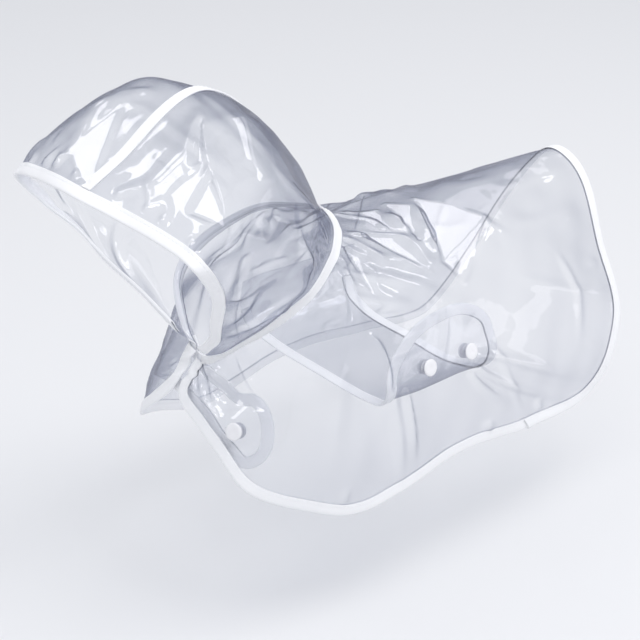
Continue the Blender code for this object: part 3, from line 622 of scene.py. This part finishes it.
def add_node(look, kind, inputs, **settings):
    """A shader node; each input is given its value, or the output that is linked to it."""
    node = look.node_tree.nodes.new("ShaderNode" + kind)
    for name, value in settings.items():
        setattr(node, name, value)
    for name, value in inputs.items():
        if isinstance(value, bpy.types.NodeSocket):
            look.node_tree.links.new(value, node.inputs[name])
        else:
            node.inputs[name].default_value = value
    return node.outputs


def film_material():
    """Clear PVC: it darkens a little at grazing angles, mirrors the lamps and is faintly milky."""
    look = new_material("clear_film_pvc")
    facing = add_node(look, "LayerWeight", {"Blend": 0.5})["Facing"]
    edge = add_node(look, "Math", {0: facing, 1: 2.5}, operation="POWER")[0]
    tones = {"Factor": edge, "A": (0.985, 0.988, 0.994, 1.0), "B": (0.40, 0.43, 0.52, 1.0)}
    tint = add_node(look, "Mix", tones, data_type="RGBA")["Result"]
    clear = add_node(look, "BsdfTransparent", {"Color": tint})[0]
    haze = add_node(look, "BsdfDiffuse", {"Color": (0.80, 0.84, 0.92, 1.0)})[0]
    milky = add_node(look, "MixShader", {"Fac": 0.010, 1: clear, 2: haze})[0]
    power = add_node(look, "Math", {0: facing, 1: 4.0}, operation="POWER")[0]
    share = add_node(look, "Math", {0: power, 1: 0.35, 2: 0.045}, operation="MULTIPLY_ADD")[0]
    place = add_node(look, "TexCoord", {})["Object"]
    ripple = add_node(look, "TexNoise", {"Vector": place, "Scale": 38.0, "Detail": 2.0})["Fac"]
    bump = add_node(look, "Bump", {"Strength": 0.20, "Distance": 0.004, "Height": ripple})[0]
    mirror = {"Color": (1.0, 0.98, 0.99, 1.0), "Roughness": 0.06, "Normal": bump}
    gloss = add_node(look, "BsdfAnisotropic", mirror)[0]
    shine = add_node(look, "MixShader", {"Fac": share, 1: milky, 2: gloss})[0]
    add_node(look, "OutputMaterial", {"Surface": shine})
    return look


def tape_material():
    """White woven polyester tape, ribbed across its width."""
    look = new_material("white_tape_weave")
    place = add_node(look, "UVMap", {}, uv_map="UVMap")[0]
    wave = {"Vector": place, "Scale": RIBS, "Distortion": 0.4}
    ribs = add_node(look, "TexWave", wave, wave_type="BANDS", bands_direction="X")["Fac"]
    wave = {"Vector": place, "Scale": THREADS, "Distortion": 0.6}
    threads = add_node(look, "TexWave", wave, wave_type="BANDS", bands_direction="Y")["Fac"]
    both = add_node(look, "Math", {0: ribs, 1: threads}, operation="MULTIPLY")[0]
    bump = add_node(look, "Bump", {"Strength": 0.35, "Distance": 0.0002, "Height": both})[0]
    cloth = {"Base Color": (0.92, 0.925, 0.94, 1.0), "Roughness": 0.62, "Normal": bump}
    cloth.update({"Sheen Weight": 0.25, "Sheen Roughness": 0.4})
    add_node(look, "OutputMaterial", {"Surface": add_node(look, "BsdfPrincipled", cloth)[0]})
    return look


def stud_material():
    """White moulded acetal with a soft gloss."""
    look = new_material("white_stud_acetal")
    place = add_node(look, "TexCoord", {})["Object"]
    grain = add_node(look, "TexNoise", {"Vector": place, "Scale": 1800.0})["Fac"]
    bump = add_node(look, "Bump", {"Strength": 0.08, "Distance": 0.0001, "Height": grain})[0]
    plastic = {"Base Color": (0.86, 0.86, 0.88, 1.0), "Roughness": 0.28, "Normal": bump}
    plastic.update({"Subsurface Weight": 0.15, "Subsurface Radius": (0.002, 0.002, 0.002)})
    add_node(look, "OutputMaterial", {"Surface": add_node(look, "BsdfPrincipled", plastic)[0]})
    return look


FILM_LOOK = film_material()
TAPE_LOOK = tape_material()
STUD_LOOK = stud_material()

# ------------------------ making pieces

# A folded binding's cross-section: how far in from the folded edge, and how far out of the
# film's middle. Millimetres. The section goes round by the outside, the fold and the inside.
OUTSIDE = (
    (8.0, 0.55), (7.9, 0.85), (7.5, 1.02), (6.6, 1.00), (6.0, 0.94), (5.2, 1.04), (3.6, 1.14),
    (2.0, 1.20), (0.8, 1.12), (0.0, 0.88), (-0.5, 0.46),
)
INSIDE = ((0.6, 0.40), (3.0, 0.42), (7.0, 0.42))


def below(points):
    """The same points on the film's other side, in the other direction."""
    return tuple((depth, -height) for depth, height in points[::-1])


BINDING_SECTION = OUTSIDE + ((-0.6, 0.0),) + below(OUTSIDE) + below(INSIDE) + ((0.3, 0.0),) + INSIDE
GROOVE = 6.0  # millimetres from the folded edge: where a binding is sewn
TAPE_SECTION = (  # a flat tape's section: shares of its half width and of its thickness
    (-1.0, 0.0), (-1.0, 0.6), (-0.95, 0.95), (-0.8, 1.0), (-0.4, 1.0), (0.0, 1.0), (0.4, 1.0),
    (0.8, 1.0), (0.95, 0.95), (1.0, 0.6), (1.0, 0.0), (0.4, 0.0), (0.0, 0.0), (-0.4, 0.0),
)
TAPE_SEWN = 0.8  # shares of a flat tape's half width at which it is sewn
TAPE_HALF = 4.5  # millimetres: a flat tape's half width, for its weave
TAPE_STEP = 1.4 * MM  # between the points along a tape
STRIPS = 6  # lines along a binding that are read from the film's form
STITCH, STITCH_PITCH, THREAD = 2.3 * MM, 3.2 * MM, 0.24 * MM
# Along a stitch: its place as a share of its length, its rise and its radius in threads.
STITCH_PROFILE = ((-0.5, -0.7, 0.5), (-0.25, 0.5, 1.0), (0.25, 0.5, 1.0), (0.5, -0.7, 0.5))
STITCH_SIDES = 5


def grid_faces(rows, cols, wrap=False):
    """Quads of a grid of points; with wrap, the last column joins the first."""
    row = np.arange(rows - 1)[:, None] * cols
    here = np.arange(cols if wrap else cols - 1)
    after = (here + 1) % cols
    corners = [row + here, row + after, row + cols + after, row + cols + here]
    return np.stack(corners, -1).reshape(-1, 4)


def tube_faces(rows, around):
    """Quads of a tube of rings, and a face across each end."""
    first = tuple(range(around))[::-1]
    last = tuple((rows - 1) * around + k for k in range(around))
    return [*grid_faces(rows, around, wrap=True), first, last]


def add_piece(name, points, faces, look, uvs=None):
    """A smooth mesh from points and faces, on the coat's body."""
    mesh = bpy.data.meshes.new(name)
    mesh.from_pydata(points.reshape(-1, 3), [], [tuple(map(int, f)) for f in faces])
    if uvs is not None:
        layer = mesh.uv_layers.new(name="UVMap")
        loops = np.empty(len(mesh.loops), int)
        mesh.loops.foreach_get("vertex_index", loops)
        layer.data.foreach_set("uv", uvs.reshape(-1, 2)[loops].astype(np.float32).ravel())
    edit = bmesh.new()
    edit.from_mesh(mesh)
    bmesh.ops.recalc_face_normals(edit, faces=edit.faces[:])
    if edit.calc_volume(signed=True) < 0:
        bmesh.ops.reverse_faces(edit, faces=edit.faces[:])
    edit.to_mesh(mesh)
    edit.free()
    mesh.shade_smooth()
    mesh.materials.append(look)
    made = bpy.data.objects.new(name, mesh)
    scene.collection.objects.link(made)
    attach(made, "root")
    return made


def ring_ways(sides, across, up):
    """Directions round a ring, from across towards up."""
    turns = np.arange(sides)[:, None] * 2 * pi / sides
    return np.cos(turns) * across[..., None, :] + np.sin(turns) * up[..., None, :]


def film_shell(name, middle):
    """A thin closed wall either side of a grid of middle points."""
    rows, cols = middle.shape[:2]
    normal = unit(np.cross(np.gradient(middle, axis=1), np.gradient(middle, axis=0)))
    outer, inner = middle + normal * FILM / 2, middle - normal * FILM / 2
    size = rows * cols
    quads = grid_faces(rows, cols)
    index = np.arange(size).reshape(rows, cols)
    rim = np.concatenate([index[:, 0], index[-1, 1:], index[-2::-1, -1], index[0, -2:0:-1]])
    after = np.roll(rim, -1)
    edge = np.stack([rim, after, size + after, size + rim], -1)
    faces = np.concatenate([quads, quads[:, ::-1] + size, edge])
    made = add_piece(name + "_film", np.stack([outer, inner]), faces, FILM_LOOK)
    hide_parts(name)
    return made


def evenly(points, *values, step):
    """Resamples paths so that the points are evenly spaced along the line."""
    run = run_of(points)
    at = np.linspace(0, run[-1], max(2, round(run[-1] / step) + 1))
    return [np.interp(at, run, value) for value in values]


def stitches(name, sewn):
    """Short raised threads on a tape, as one piece; sewn has lines and the ways off the tape."""
    points, faces = [], []
    along, rise, radius = np.array(STITCH_PROFILE).T
    one = tube_faces(len(along), STITCH_SIDES)
    for line, up in sewn:
        run = run_of(line)
        middles = np.arange(STITCH_PITCH, run[-1] - STITCH_PITCH / 2, STITCH_PITCH)
        at = middles[:, None] + along * STITCH
        centre = np.stack([np.interp(at, run, line[:, k]) for k in range(3)], -1)
        off = unit(np.stack([np.interp(at, run, up[:, k]) for k in range(3)], -1))
        side = np.cross(unit(centre[:, -1:] - centre[:, :1]), off)
        centre = centre + off * (rise * THREAD)[:, None]
        ways = ring_ways(STITCH_SIDES, side, off)
        for stitch in centre[:, :, None] + ways * (radius * THREAD)[:, None, None]:
            first = len(points) * len(along) * STITCH_SIDES
            faces += [tuple(int(k) + first for k in face) for face in one]
            points.append(stitch)
    made = add_piece(name + "_stitches", np.stack(points), faces, TAPE_LOOK)


def woven(name, columns, across, sewn):
    """A tape through columns of points, with UVs in millimetres, and its stitches if it is sewn."""
    grid = np.stack(columns, 1)
    run = run_of(columns[0]) / MM
    uvs = np.stack(np.broadcast_arrays(run[:, None], across), -1)
    made = add_piece(name + "_woven", grid, tube_faces(*grid.shape[:2]), TAPE_LOOK, uvs)
    if sewn:
        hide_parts(name)
        stitches(name, sewn)
    return made


def binding(name, form, edge, inner, extra=None):
    """A folded woven binding over a film edge, from the edge path to the inner path.

    With extra it lies over another binding: it is thicker by that much (metres, from end to
    end), and has no stitches and no node of its own.
    """
    a0, b0, a1, b1 = evenly(form(*edge), *edge, *inner, step=TAPE_STEP)
    strips = [form(a0 + (a1 - a0) * t, b0 + (b1 - b0) * t) for t in np.linspace(0, 1, STRIPS)]
    past = unit(strips[0] - strips[-1])
    out_way = unit(np.cross(past, np.gradient(strips[0], axis=0)))
    out_way *= np.sign((out_way * outward(form, a0, b0)).sum(-1, keepdims=True))
    extras = (0.0,) if extra is None else extra
    more = np.interp(np.linspace(0, 1, len(a0)), np.linspace(0, 1, len(extras)), extras)[:, None]
    columns = []
    for depth, height in BINDING_SECTION:
        place = max(depth, 0.0) * MM / BINDING * (STRIPS - 1)
        k = min(int(place), STRIPS - 2)
        point = strips[k] + (strips[k + 1] - strips[k]) * (place - k)
        beyond = max(-depth, 0.0) * MM + more * (depth < 0)
        columns.append(point + out_way * (height * MM + np.sign(height) * more) + past * beyond)
    across = [height if depth < 0 else depth for depth, height in BINDING_SECTION]
    sewn = [
        (columns[k], out_way * np.sign(height))
        for k, (depth, height) in enumerate(BINDING_SECTION)
        if depth == GROOVE
    ]
    return woven(name, columns, across, sewn if extra is None else [])


def flat_tape(name, left, middle, right):
    """A flat tape that lies on the film's outside."""
    a_l, b_l, a_m, b_m, a_r, b_r = evenly(coat(*middle), *left, *middle, *right, step=TAPE_STEP)
    normal = outward(plain_form, a_m, b_m)
    columns = []
    for place, height in TAPE_SECTION:
        other_a, other_b = (a_l, b_l) if place < 0 else (a_r, b_r)
        a = a_m + (other_a - a_m) * abs(place)
        b = b_m + (other_b - b_m) * abs(place)
        columns.append(coat(a, b) + normal * (FILM / 2 + GAP + height * TAPE))
    across = [place * TAPE_HALF for place, _ in TAPE_SECTION]
    sewn = [k for k, (place, _) in enumerate(TAPE_SECTION) if abs(place) == TAPE_SEWN]
    return woven(name, columns, across, [(columns[k], normal) for k in sewn])


# ------------------------ hood and cape

# Columns and rows of points, and the share at which the columns are evenly spaced.
HOOD_COLUMNS, HOOD_ROWS, HOOD_EVEN = 150, 112, 0.6
CAPE_COLUMNS, CAPE_ROWS, CAPE_EVEN = 400, 108, -0.6
EDGE_IN = 0.002  # share of the cut: film stops this far from the neck seam and its other edge
SEAM_POINTS = 90  # points along the hood's centre seam
CORNER_POINTS, FRONT_POINTS = 16, 20  # points round a front corner, and up a front edge
HEM_START = NECK_TAPE / 2 + 2 * MM  # from the neck seam to the ends of the hem binding


def make_hood():
    """The hood's near and far halves."""
    share = np.linspace(EDGE_IN, 1 - EDGE_IN, HOOD_ROWS)[:, None]
    near = even_angles(0.0, HOOD_NEAR_EDGE, HOOD_EVEN, HOOD_COLUMNS)
    far = even_angles(HOOD_FAR_EDGE, 0.0, HOOD_EVEN, HOOD_COLUMNS)
    return film_shell("hood_near", coat(near, share)), film_shell("hood_far", coat(far, share))


def make_cape():
    """The cape, from the neck seam to its lower edge."""
    angle = even_angles(FAR_EDGE, NEAR_EDGE, CAPE_EVEN, CAPE_COLUMNS)
    edge = cape_edge(angle) + EDGE_IN
    share = edge + (-EDGE_IN - edge) * np.linspace(0, 1, CAPE_ROWS)[:, None]
    return film_shell("cape", coat(angle, share))


def face_inset(angle, distance):
    """The share a distance in from the face opening, along the cut."""
    face = np.ones_like(angle)
    return share_step(angle, face, -distance * slant(angle, face))


def hem_inset(angle, distance):
    """The share a distance in from the lower edge, along the cut."""
    hem = cape_edge(angle)
    return share_step(angle, hem, distance * slant(angle, hem) * np.cos(corner_turn(angle)))


def make_face_binding():
    """The binding of the face opening, from the throat's far side to its near side."""
    angle = angles(HOOD_FAR_EDGE, HOOD_NEAR_EDGE)
    edge = (angle, np.ones_like(angle))
    return binding("face_binding", coat, edge, (angle, face_inset(angle, BINDING)))


def make_hood_tape():
    """The tape on the hood's centre seam, from the neck tape to the face binding."""
    start = share_step(np.zeros(1), np.zeros(1), np.full(1, NECK_TAPE / 2))[0]
    end = face_inset(np.array([-1.0, 0.0, 1.0]), BINDING)[1]
    share = np.linspace(start, end, SEAM_POINTS)
    middle = np.zeros_like(share)
    half = angle_step(middle, share, SEAM_TAPE / 2)
    return flat_tape("hood_seam_tape", (-half, share), (middle, share), (half, share))


def make_neck_tape():
    """The tape on the neck seam, which runs on over the cape's near front."""
    angle = angles(HOOD_FAR_EDGE, NECK_TAPE_END)
    seam = np.zeros_like(angle)
    low = share_step(angle, seam, -NECK_TAPE / 2)
    high = share_step(angle, seam, NECK_TAPE / 2)
    return flat_tape("neck_tape", (angle, low), (angle, seam), (angle, high))


def hem_angles():
    """Angles along the cape's lower edge, closer together round the two corners."""
    turn = CORNER_ANGLE * np.sin(np.linspace(0, pi / 2, CORNER_POINTS)[1:])
    far, near = FAR_EDGE + CORNER_ANGLE, NEAR_EDGE - CORNER_ANGLE
    return np.concatenate([far - turn[::-1], angles(far, near), near + turn])


def make_hem_binding():
    """The binding of the far front edge, the hem and the near front edge, in one."""
    hem = hem_angles()
    ends = np.array([FAR_EDGE, NEAR_EDGE])
    top = share_step(ends, np.zeros(2), np.full(2, -HEM_START))
    low = cape_edge(ends)
    far = np.linspace(top[0], low[0], FRONT_POINTS)[:-1]
    near = np.linspace(low[1], top[1], FRONT_POINTS)[1:]
    angle = np.concatenate([np.full(far.shape, FAR_EDGE), hem, np.full(near.shape, NEAR_EDGE)])
    share = np.concatenate([far, cape_edge(hem), near])
    in_share = np.concatenate([far, hem_inset(hem, BINDING), near])
    in_angle = angle_step(angle, share, -BINDING * np.sin(corner_turn(angle)))
    return binding("hem_binding", coat, (angle, share), (in_angle, in_share))


JOIN_START, JOIN_END = 61.8, 51.0  # degrees: where the hem binding's ends lie over each other
# How much thicker the lapped end is, from its cut, which stands up, to where it sinks in.
JOIN_EXTRA = np.array([0.95, 0.60, 0.50, 0.48, 0.45, 0.42, 0.38, 0.30, 0.15, -0.15]) * MM
JOIN_SLANT = 0.8  # degrees: how much further the cut end reaches at the fold
JOIN_POINTS = 40


def make_hem_join():
    """The end of the hem binding, lapped over its start, with its cut corner left standing."""
    t = np.linspace(0, 1, JOIN_POINTS)
    outer = JOIN_START + JOIN_SLANT + (JOIN_END - JOIN_START - JOIN_SLANT) * t
    inner = JOIN_START + (JOIN_END - JOIN_START) * t
    edge = (outer, cape_edge(outer))
    return binding("hem_join", coat, edge, (inner, hem_inset(inner, BINDING)), JOIN_EXTRA)


# ------------------------ chest flap and belly strap

Flap = namedtuple("Flap", "angle top bottom")
FLAP = rows_of(Flap, [  # the flap's upper and lower edges, as shares of the cape, at each angle
    (128, -0.39, -0.92),
    (140, -0.39, -0.92),
    (152, -0.4, -0.94),
    (165, -0.29, -0.93),
    (182, -0.17, -0.86),
    (196, -0.14, -0.74),
    (228, -0.14, -0.7),
])
FLAP_HALF = 30.0  # the flap is read across from -30 at its upper edge to 30 at its lower
FLAP_TIP, FLAP_ROUND, FLAP_SLANT = 130.0, 17.0, 3.5  # degrees: its end, rounding and slant
FLAP_BOUND = 204.0  # degrees: where its binding starts
FLAP_FREE, FLAP_SEWN = 202.0, 224.0  # degrees: it rises from the inside to its seam between these


def flap_share(angle):
    """The place along the flap at an angle round the coat."""
    return (angle - FLAP_TIP) / (FLAP[-1].angle - FLAP_TIP)


def flap_start(across):
    """Where the flap's rounded end lies at each place across it."""
    u = across / FLAP_HALF
    return flap_share(FLAP_TIP + FLAP_ROUND * (1 - np.sqrt(1 - u * u)) + FLAP_SLANT * u)


def flap_form(across, share):
    """Points of the chest flap's middle surface."""
    across, share = matched(across, share)
    angle = FLAP_TIP + (FLAP[-1].angle - FLAP_TIP) * share
    knots = np.array([row.angle for row in FLAP], float)
    top = smooth(knots, np.array([row.top for row in FLAP]), angle)
    bottom = smooth(knots, np.array([row.bottom for row in FLAP]), angle)
    place = (top + bottom) / 2 + across / FLAP_HALF * (bottom - top) / 2
    t = np.clip((FLAP_SEWN - angle) / (FLAP_SEWN - FLAP_FREE), 0, 1)
    lift = -(TUCK + (LAP - TUCK) * eased(t))
    points = moved_out(plain_form, angle, place, lift)
    return points + outward(plain_form, angle, place) * TAB_RIPPLE * ripples(points)[..., None]


STRAP_X, STRAP_HALF = 32.5, 53.5  # millimetres: the strap's middle and half width
STRAP_TOP = -63.5  # millimetres: the height of its near end
STRAP_ROUND, STRAP_SKEW = 30.0, -6.0  # millimetres: how deep its rounded end is, front to rear

Side = namedtuple("Side", "down rise lift")
NEAR_SIDE = rows_of(Side, [  # on the near side: below its top, slope rearward, lift (millimetres)
    (0, 0.07, -4.4),
    (12, 0.03, -4.4),
    (25, -0.01, -4.4),
    (38, -0.06, -4.4),
])
FAR_SIDE = rows_of(Side, [  # on the far side, up to its seam
    (38, -0.03, -3.4),
    (27, 0.0, -2.6),
    (16, 0.0, -1.9),
])
Belly = namedtuple("Belly", "out down narrowing")
BELLY = rows_of(Belly, [  # under the belly: share of the way out, millimetres below the bends
    (0.970, 10.0, 0.99),
    (0.870, 18.0, 0.96),
    (0.720, 21.5, 0.93),
    (0.000, 24.0, 0.90),
    (-0.720, 21.5, 0.93),
    (-0.870, 18.0, 0.96),
    (-0.970, 10.0, 0.99),
])
STRAP_SPARE, STRAP_POINTS = 6.0, 13  # millimetres past its edges that are read, and points across
STRAP_KNOTS = np.linspace(-STRAP_HALF - STRAP_SPARE, STRAP_HALF + STRAP_SPARE, STRAP_POINTS)
STRAP_BOUND = len(NEAR_SIDE) + len(BELLY) - 0.5  # rows: its binding ends below the far seam


def side_row(row, side):
    """Points across the strap where it lies on one side of the coat."""
    x = (STRAP_X + STRAP_KNOTS) * MM
    z = (STRAP_TOP + row.rise * STRAP_KNOTS - row.down) * MM
    lift = np.full_like(x, row.lift * MM)
    return moved_out(plain_form, *on_side(x, z, side, lift), lift)


def strap_rows():
    """The strap's rows of points, from its near end under the belly to its far seam."""
    near = [side_row(row, 1) for row in NEAR_SIDE]
    far = [side_row(row, -1) for row in FAR_SIDE]
    under = []
    for row in BELLY:
        bend = near[-1] if row.out > 0 else far[0]
        points = bend * (1.0, abs(row.out), 1.0) - (0.0, 0.0, row.down * MM)
        points[:, 0] = STRAP_X * MM + (points[:, 0] - STRAP_X * MM) * row.narrowing
        under.append(points)
    return near + under + far


STRAP_ROWS = strap_rows()


def strap_form(across, share):
    """Points of the strap's middle surface."""
    across, share = matched(across, share)
    flat = across.ravel()
    chain = [[smooth(STRAP_KNOTS, values, flat) for values in points.T] for points in STRAP_ROWS]
    chain = np.moveaxis(np.array(chain), 1, -1)
    points = through(chain, share.ravel() * (len(chain) - 1))
    points[:, 1] += TAB_RIPPLE * ripples(points)
    return points.reshape(share.shape + (3,))


def strap_start(across):
    """Where the strap's rounded end lies at each place across it."""
    u = across / STRAP_HALF
    drop = (STRAP_ROUND + STRAP_SKEW * u) * (1 - np.sqrt(1 - u * u))
    place = np.interp(drop, [row.down for row in NEAR_SIDE], range(len(NEAR_SIDE)))
    return place / (len(STRAP_ROWS) - 1)


Tab = namedtuple("Tab", "name form half start bound rows")
# A tab's half width, where its film starts and its binding ends, and its rows of points.
TABS = rows_of(Tab, [
    ("chest_flap", flap_form, FLAP_HALF, flap_start, flap_share(FLAP_BOUND), 90),
    ("belly_strap", strap_form, STRAP_HALF, strap_start, STRAP_BOUND / (len(STRAP_ROWS) - 1), 140),
])
TAB_COLUMNS, TAB_CLOSE = 60, 0.02  # columns, and how close they come to the edges, in radians
TAB_END_POINTS, TAB_SIDE_POINTS = 60, 40  # points of the binding round the end and up a side


def make_tab(tab):
    """A film tab with a rounded end, and the binding round its free edges."""
    across = -tab.half * np.cos(np.linspace(TAB_CLOSE, pi - TAB_CLOSE, TAB_COLUMNS))
    start = tab.start(across)
    share = start + (1 - start) * np.linspace(0, 1, tab.rows)[:, None]
    film = film_shell(tab.name, tab.form(across, share))
    end_across = -tab.half * np.cos(np.linspace(0, pi, TAB_END_POINTS))
    end = tab.start(end_across)
    front = np.linspace(tab.bound, end[0], TAB_SIDE_POINTS)[:-1]
    rear = np.linspace(end[-1], tab.bound, TAB_SIDE_POINTS)[1:]
    sides = np.full_like(front, tab.half)
    edge = (
        np.concatenate([sides, end_across[::-1], -sides]),
        np.concatenate([rear[::-1], end[::-1], front[::-1]]),
    )
    inner = inset(tab.form, *edge, BINDING)
    return film, binding(tab.name + "_binding", tab.form, edge, inner)


# ------------------------ press studs

STUD_SIDES = 48
STUD_GAP = 0.5 * MM
SOLID_FILM = 1.0 * MM  # the wall of the solids, which the studs' places are worked out from
# Profiles from the bottom up: height and radius, millimetres.
CAP = (
    (0.0, 5.2), (0.15, 5.8), (0.5, 6.15), (0.9, 6.1), (1.25, 5.75), (1.45, 5.2), (1.55, 4.4),
    (1.6, 3.4), (1.6, 1.6), (1.5, 1.1), (1.45, 0.5),
)
SOCKET = (
    (0.0, 4.0), (0.1, 4.7), (0.4, 5.0), (0.8, 4.9), (0.9, 3.8), (1.3, 3.8), (1.4, 4.9), (1.8, 5.0),
    (2.1, 4.3), (2.1, 2.4), (1.9, 1.6),
)
BACK = ((0.0, 1.2), (0.1, 4.2), (0.3, 5.2), (0.6, 5.6), (0.9, 5.3), (1.2, 4.2), (1.3, 2.4))
CAP_HEIGHT = 1.6 * MM
CHEST_STUD = (149.0, -0.70)  # angle and share
BELLY_STUDS = (("belly_stud_front", 15.5, -93.0), ("belly_stud_rear", 57.0, -96.0))  # x and z, mm


def turned(node, profile, centre, axis):
    """A round piece from (height, radius) rows that stands on centre along axis."""
    across = unit(np.cross(axis, (1.0, 0.0, 0.0)))
    ways = ring_ways(STUD_SIDES, across, np.cross(axis, across))
    rings = np.stack([centre + axis * height + radius * ways for height, radius in profile])
    made = add_piece(node + "_turned", rings, tube_faces(len(profile), STUD_SIDES), STUD_LOOK)
    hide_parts(node)


def make_stud(name, angle, share):
    """A closed press stud: the cap and the socket hold the outer film, the back the tab."""
    centre = plain_form(angle, share)
    axis = outward(plain_form, angle, share)
    for part_name, profile, top in (
        ("cap", CAP, SOLID_FILM / 2 + STUD_GAP + CAP_HEIGHT),
        ("socket", SOCKET, -SOLID_FILM / 2 - STUD_GAP),
        ("back", BACK, -LAP - SOLID_FILM / 2 - STUD_GAP),
    ):
        tallest = max(height for height, _ in profile)
        rows = [(top + (height - tallest) * MM, radius * MM) for height, radius in profile]
        turned(f"{name}_{part_name}", rows, centre, axis)


# ------------------------ build

hood_near, hood_far = make_hood()
cape = make_cape()
face_binding = make_face_binding()
hood_tape = make_hood_tape()
neck_tape = make_neck_tape()
hem_binding = make_hem_binding()
hem_join = make_hem_join()
flap_film, flap_binding = make_tab(TABS[0])
strap_film, strap_binding = make_tab(TABS[1])
make_stud("chest_stud", *CHEST_STUD)
for stud_name, x, z in BELLY_STUDS:
    make_stud(stud_name, *on_side(np.array(x * MM), np.array(z * MM), 1, 0.0))

# ------------------------ stage, lamps and camera

FLOOR, FLOOR_HALF = -0.265, 8.0  # metres: where the wearer's paws stand, and half its side

Lamp = namedtuple("Lamp", "name azimuth elevation distance width height power seen")
# Degrees, metres, watts; a lamp is seen by gloss alone (shine) or by diffuse alone (light).
LAMPS = rows_of(Lamp, [
    ("over_back", 92.0, 57.0, 1.6, 1.0, 0.44, 4.4, "shine"),
    ("along_back", 90.0, 42.0, 1.6, 1.3, 0.22, 1.1, "shine"),
    ("behind", 58.0, 32.0, 1.6, 0.34, 0.28, 1.0, "shine"),
    ("low_right", 50.0, -4.0, 1.6, 0.9, 0.30, 0.7, "shine"),
    ("over_left", -106.0, 59.0, 1.6, 0.38, 0.36, 1.3, "shine"),
    ("left", -130.0, 50.0, 1.6, 0.26, 0.24, 0.65, "shine"),
    ("far_left", -155.0, 42.0, 1.6, 0.30, 0.26, 0.85, "shine"),
    ("chest", -108.0, 22.0, 1.6, 0.25, 0.25, 0.6, "shine"),
    ("front", -75.0, 42.0, 2.6, 0.9, 0.7, 9.0, "shine"),
    ("fill", -115.0, 58.0, 2.6, 1.6, 1.2, 6.5, "light"),
    ("top", -20.0, 75.0, 2.6, 1.6, 1.2, 14.0, "light"),
    ("right", 30.0, 60.0, 2.6, 1.6, 1.2, 21.0, "light"),
])
LAMP_TARGET = (0.0, 0.0, -0.05)  # metres
LAMP_COLOUR = (1.0, 0.985, 0.985)

LENS, SENSOR = 85.0, 36.0  # millimetres
CAMERA_TARGET = (-0.03031, -0.02206, -0.06564)  # metres
CAMERA_AZIMUTH, CAMERA_ELEVATION, CAMERA_DISTANCE = -40.0, 29.0, 1.05  # degrees, metres

WORLD_COLOUR, WORLD_STRENGTH = (0.93, 0.95, 1.0, 1.0), 0.74


def make_floor():
    """A plain pale floor."""
    mesh = bpy.data.meshes.new("floor")
    ends = ((-1, -1), (1, -1), (1, 1), (-1, 1))
    mesh.from_pydata([(x * FLOOR_HALF, y * FLOOR_HALF, FLOOR) for x, y in ends], [], [(0, 1, 2, 3)])
    look = new_material("floor_paper")
    paper = add_node(look, "BsdfDiffuse", {"Color": (0.785, 0.79, 0.80, 1.0)})[0]
    add_node(look, "OutputMaterial", {"Surface": paper})
    mesh.materials.append(look)
    floor = bpy.data.objects.new("floor", mesh)
    scene.collection.objects.link(floor)


def aim(made, target, azimuth, elevation, distance):
    """Puts a lamp or the camera at a distance from its target, looking at it."""
    a, e = np.radians(azimuth), np.radians(elevation)
    way = Vector((np.sin(a) * np.cos(e), -np.cos(a) * np.cos(e), np.sin(e)))
    made.location = Vector(target) + way * distance
    made.rotation_mode = "QUATERNION"
    made.rotation_quaternion = way.to_track_quat("Z", "Y")
    scene.collection.objects.link(made)


def make_lamps():
    """Soft area lamps round the coat."""
    for row in LAMPS:
        data = bpy.data.lights.new(row.name, "AREA")
        data.shape = "RECTANGLE"
        data.size, data.size_y = row.width, row.height
        data.energy = row.power
        data.color = LAMP_COLOUR
        lamp = bpy.data.objects.new(row.name, data)
        lamp.visible_camera = False
        lamp.visible_diffuse = row.seen == "light"
        lamp.visible_glossy = row.seen == "shine"
        aim(lamp, LAMP_TARGET, row.azimuth, row.elevation, row.distance)


def make_world():
    """An even pale sky."""
    world = bpy.data.worlds.new("studio")
    scene.world = world
    world.use_nodes = True
    sky = world.node_tree.nodes["Background"].inputs
    sky["Color"].default_value = WORLD_COLOUR
    sky["Strength"].default_value = WORLD_STRENGTH


def make_camera():
    """The camera, above the coat's near front."""
    data = bpy.data.cameras.new("camera")
    data.lens, data.sensor_width = LENS, SENSOR
    camera = bpy.data.objects.new("camera", data)
    aim(camera, CAMERA_TARGET, CAMERA_AZIMUTH, CAMERA_ELEVATION, CAMERA_DISTANCE)
    scene.camera = camera


make_floor()
make_lamps()
make_world()
make_camera()
scene.view_settings.view_transform = "Standard"
scene.cycles.transparent_max_bounces = 48
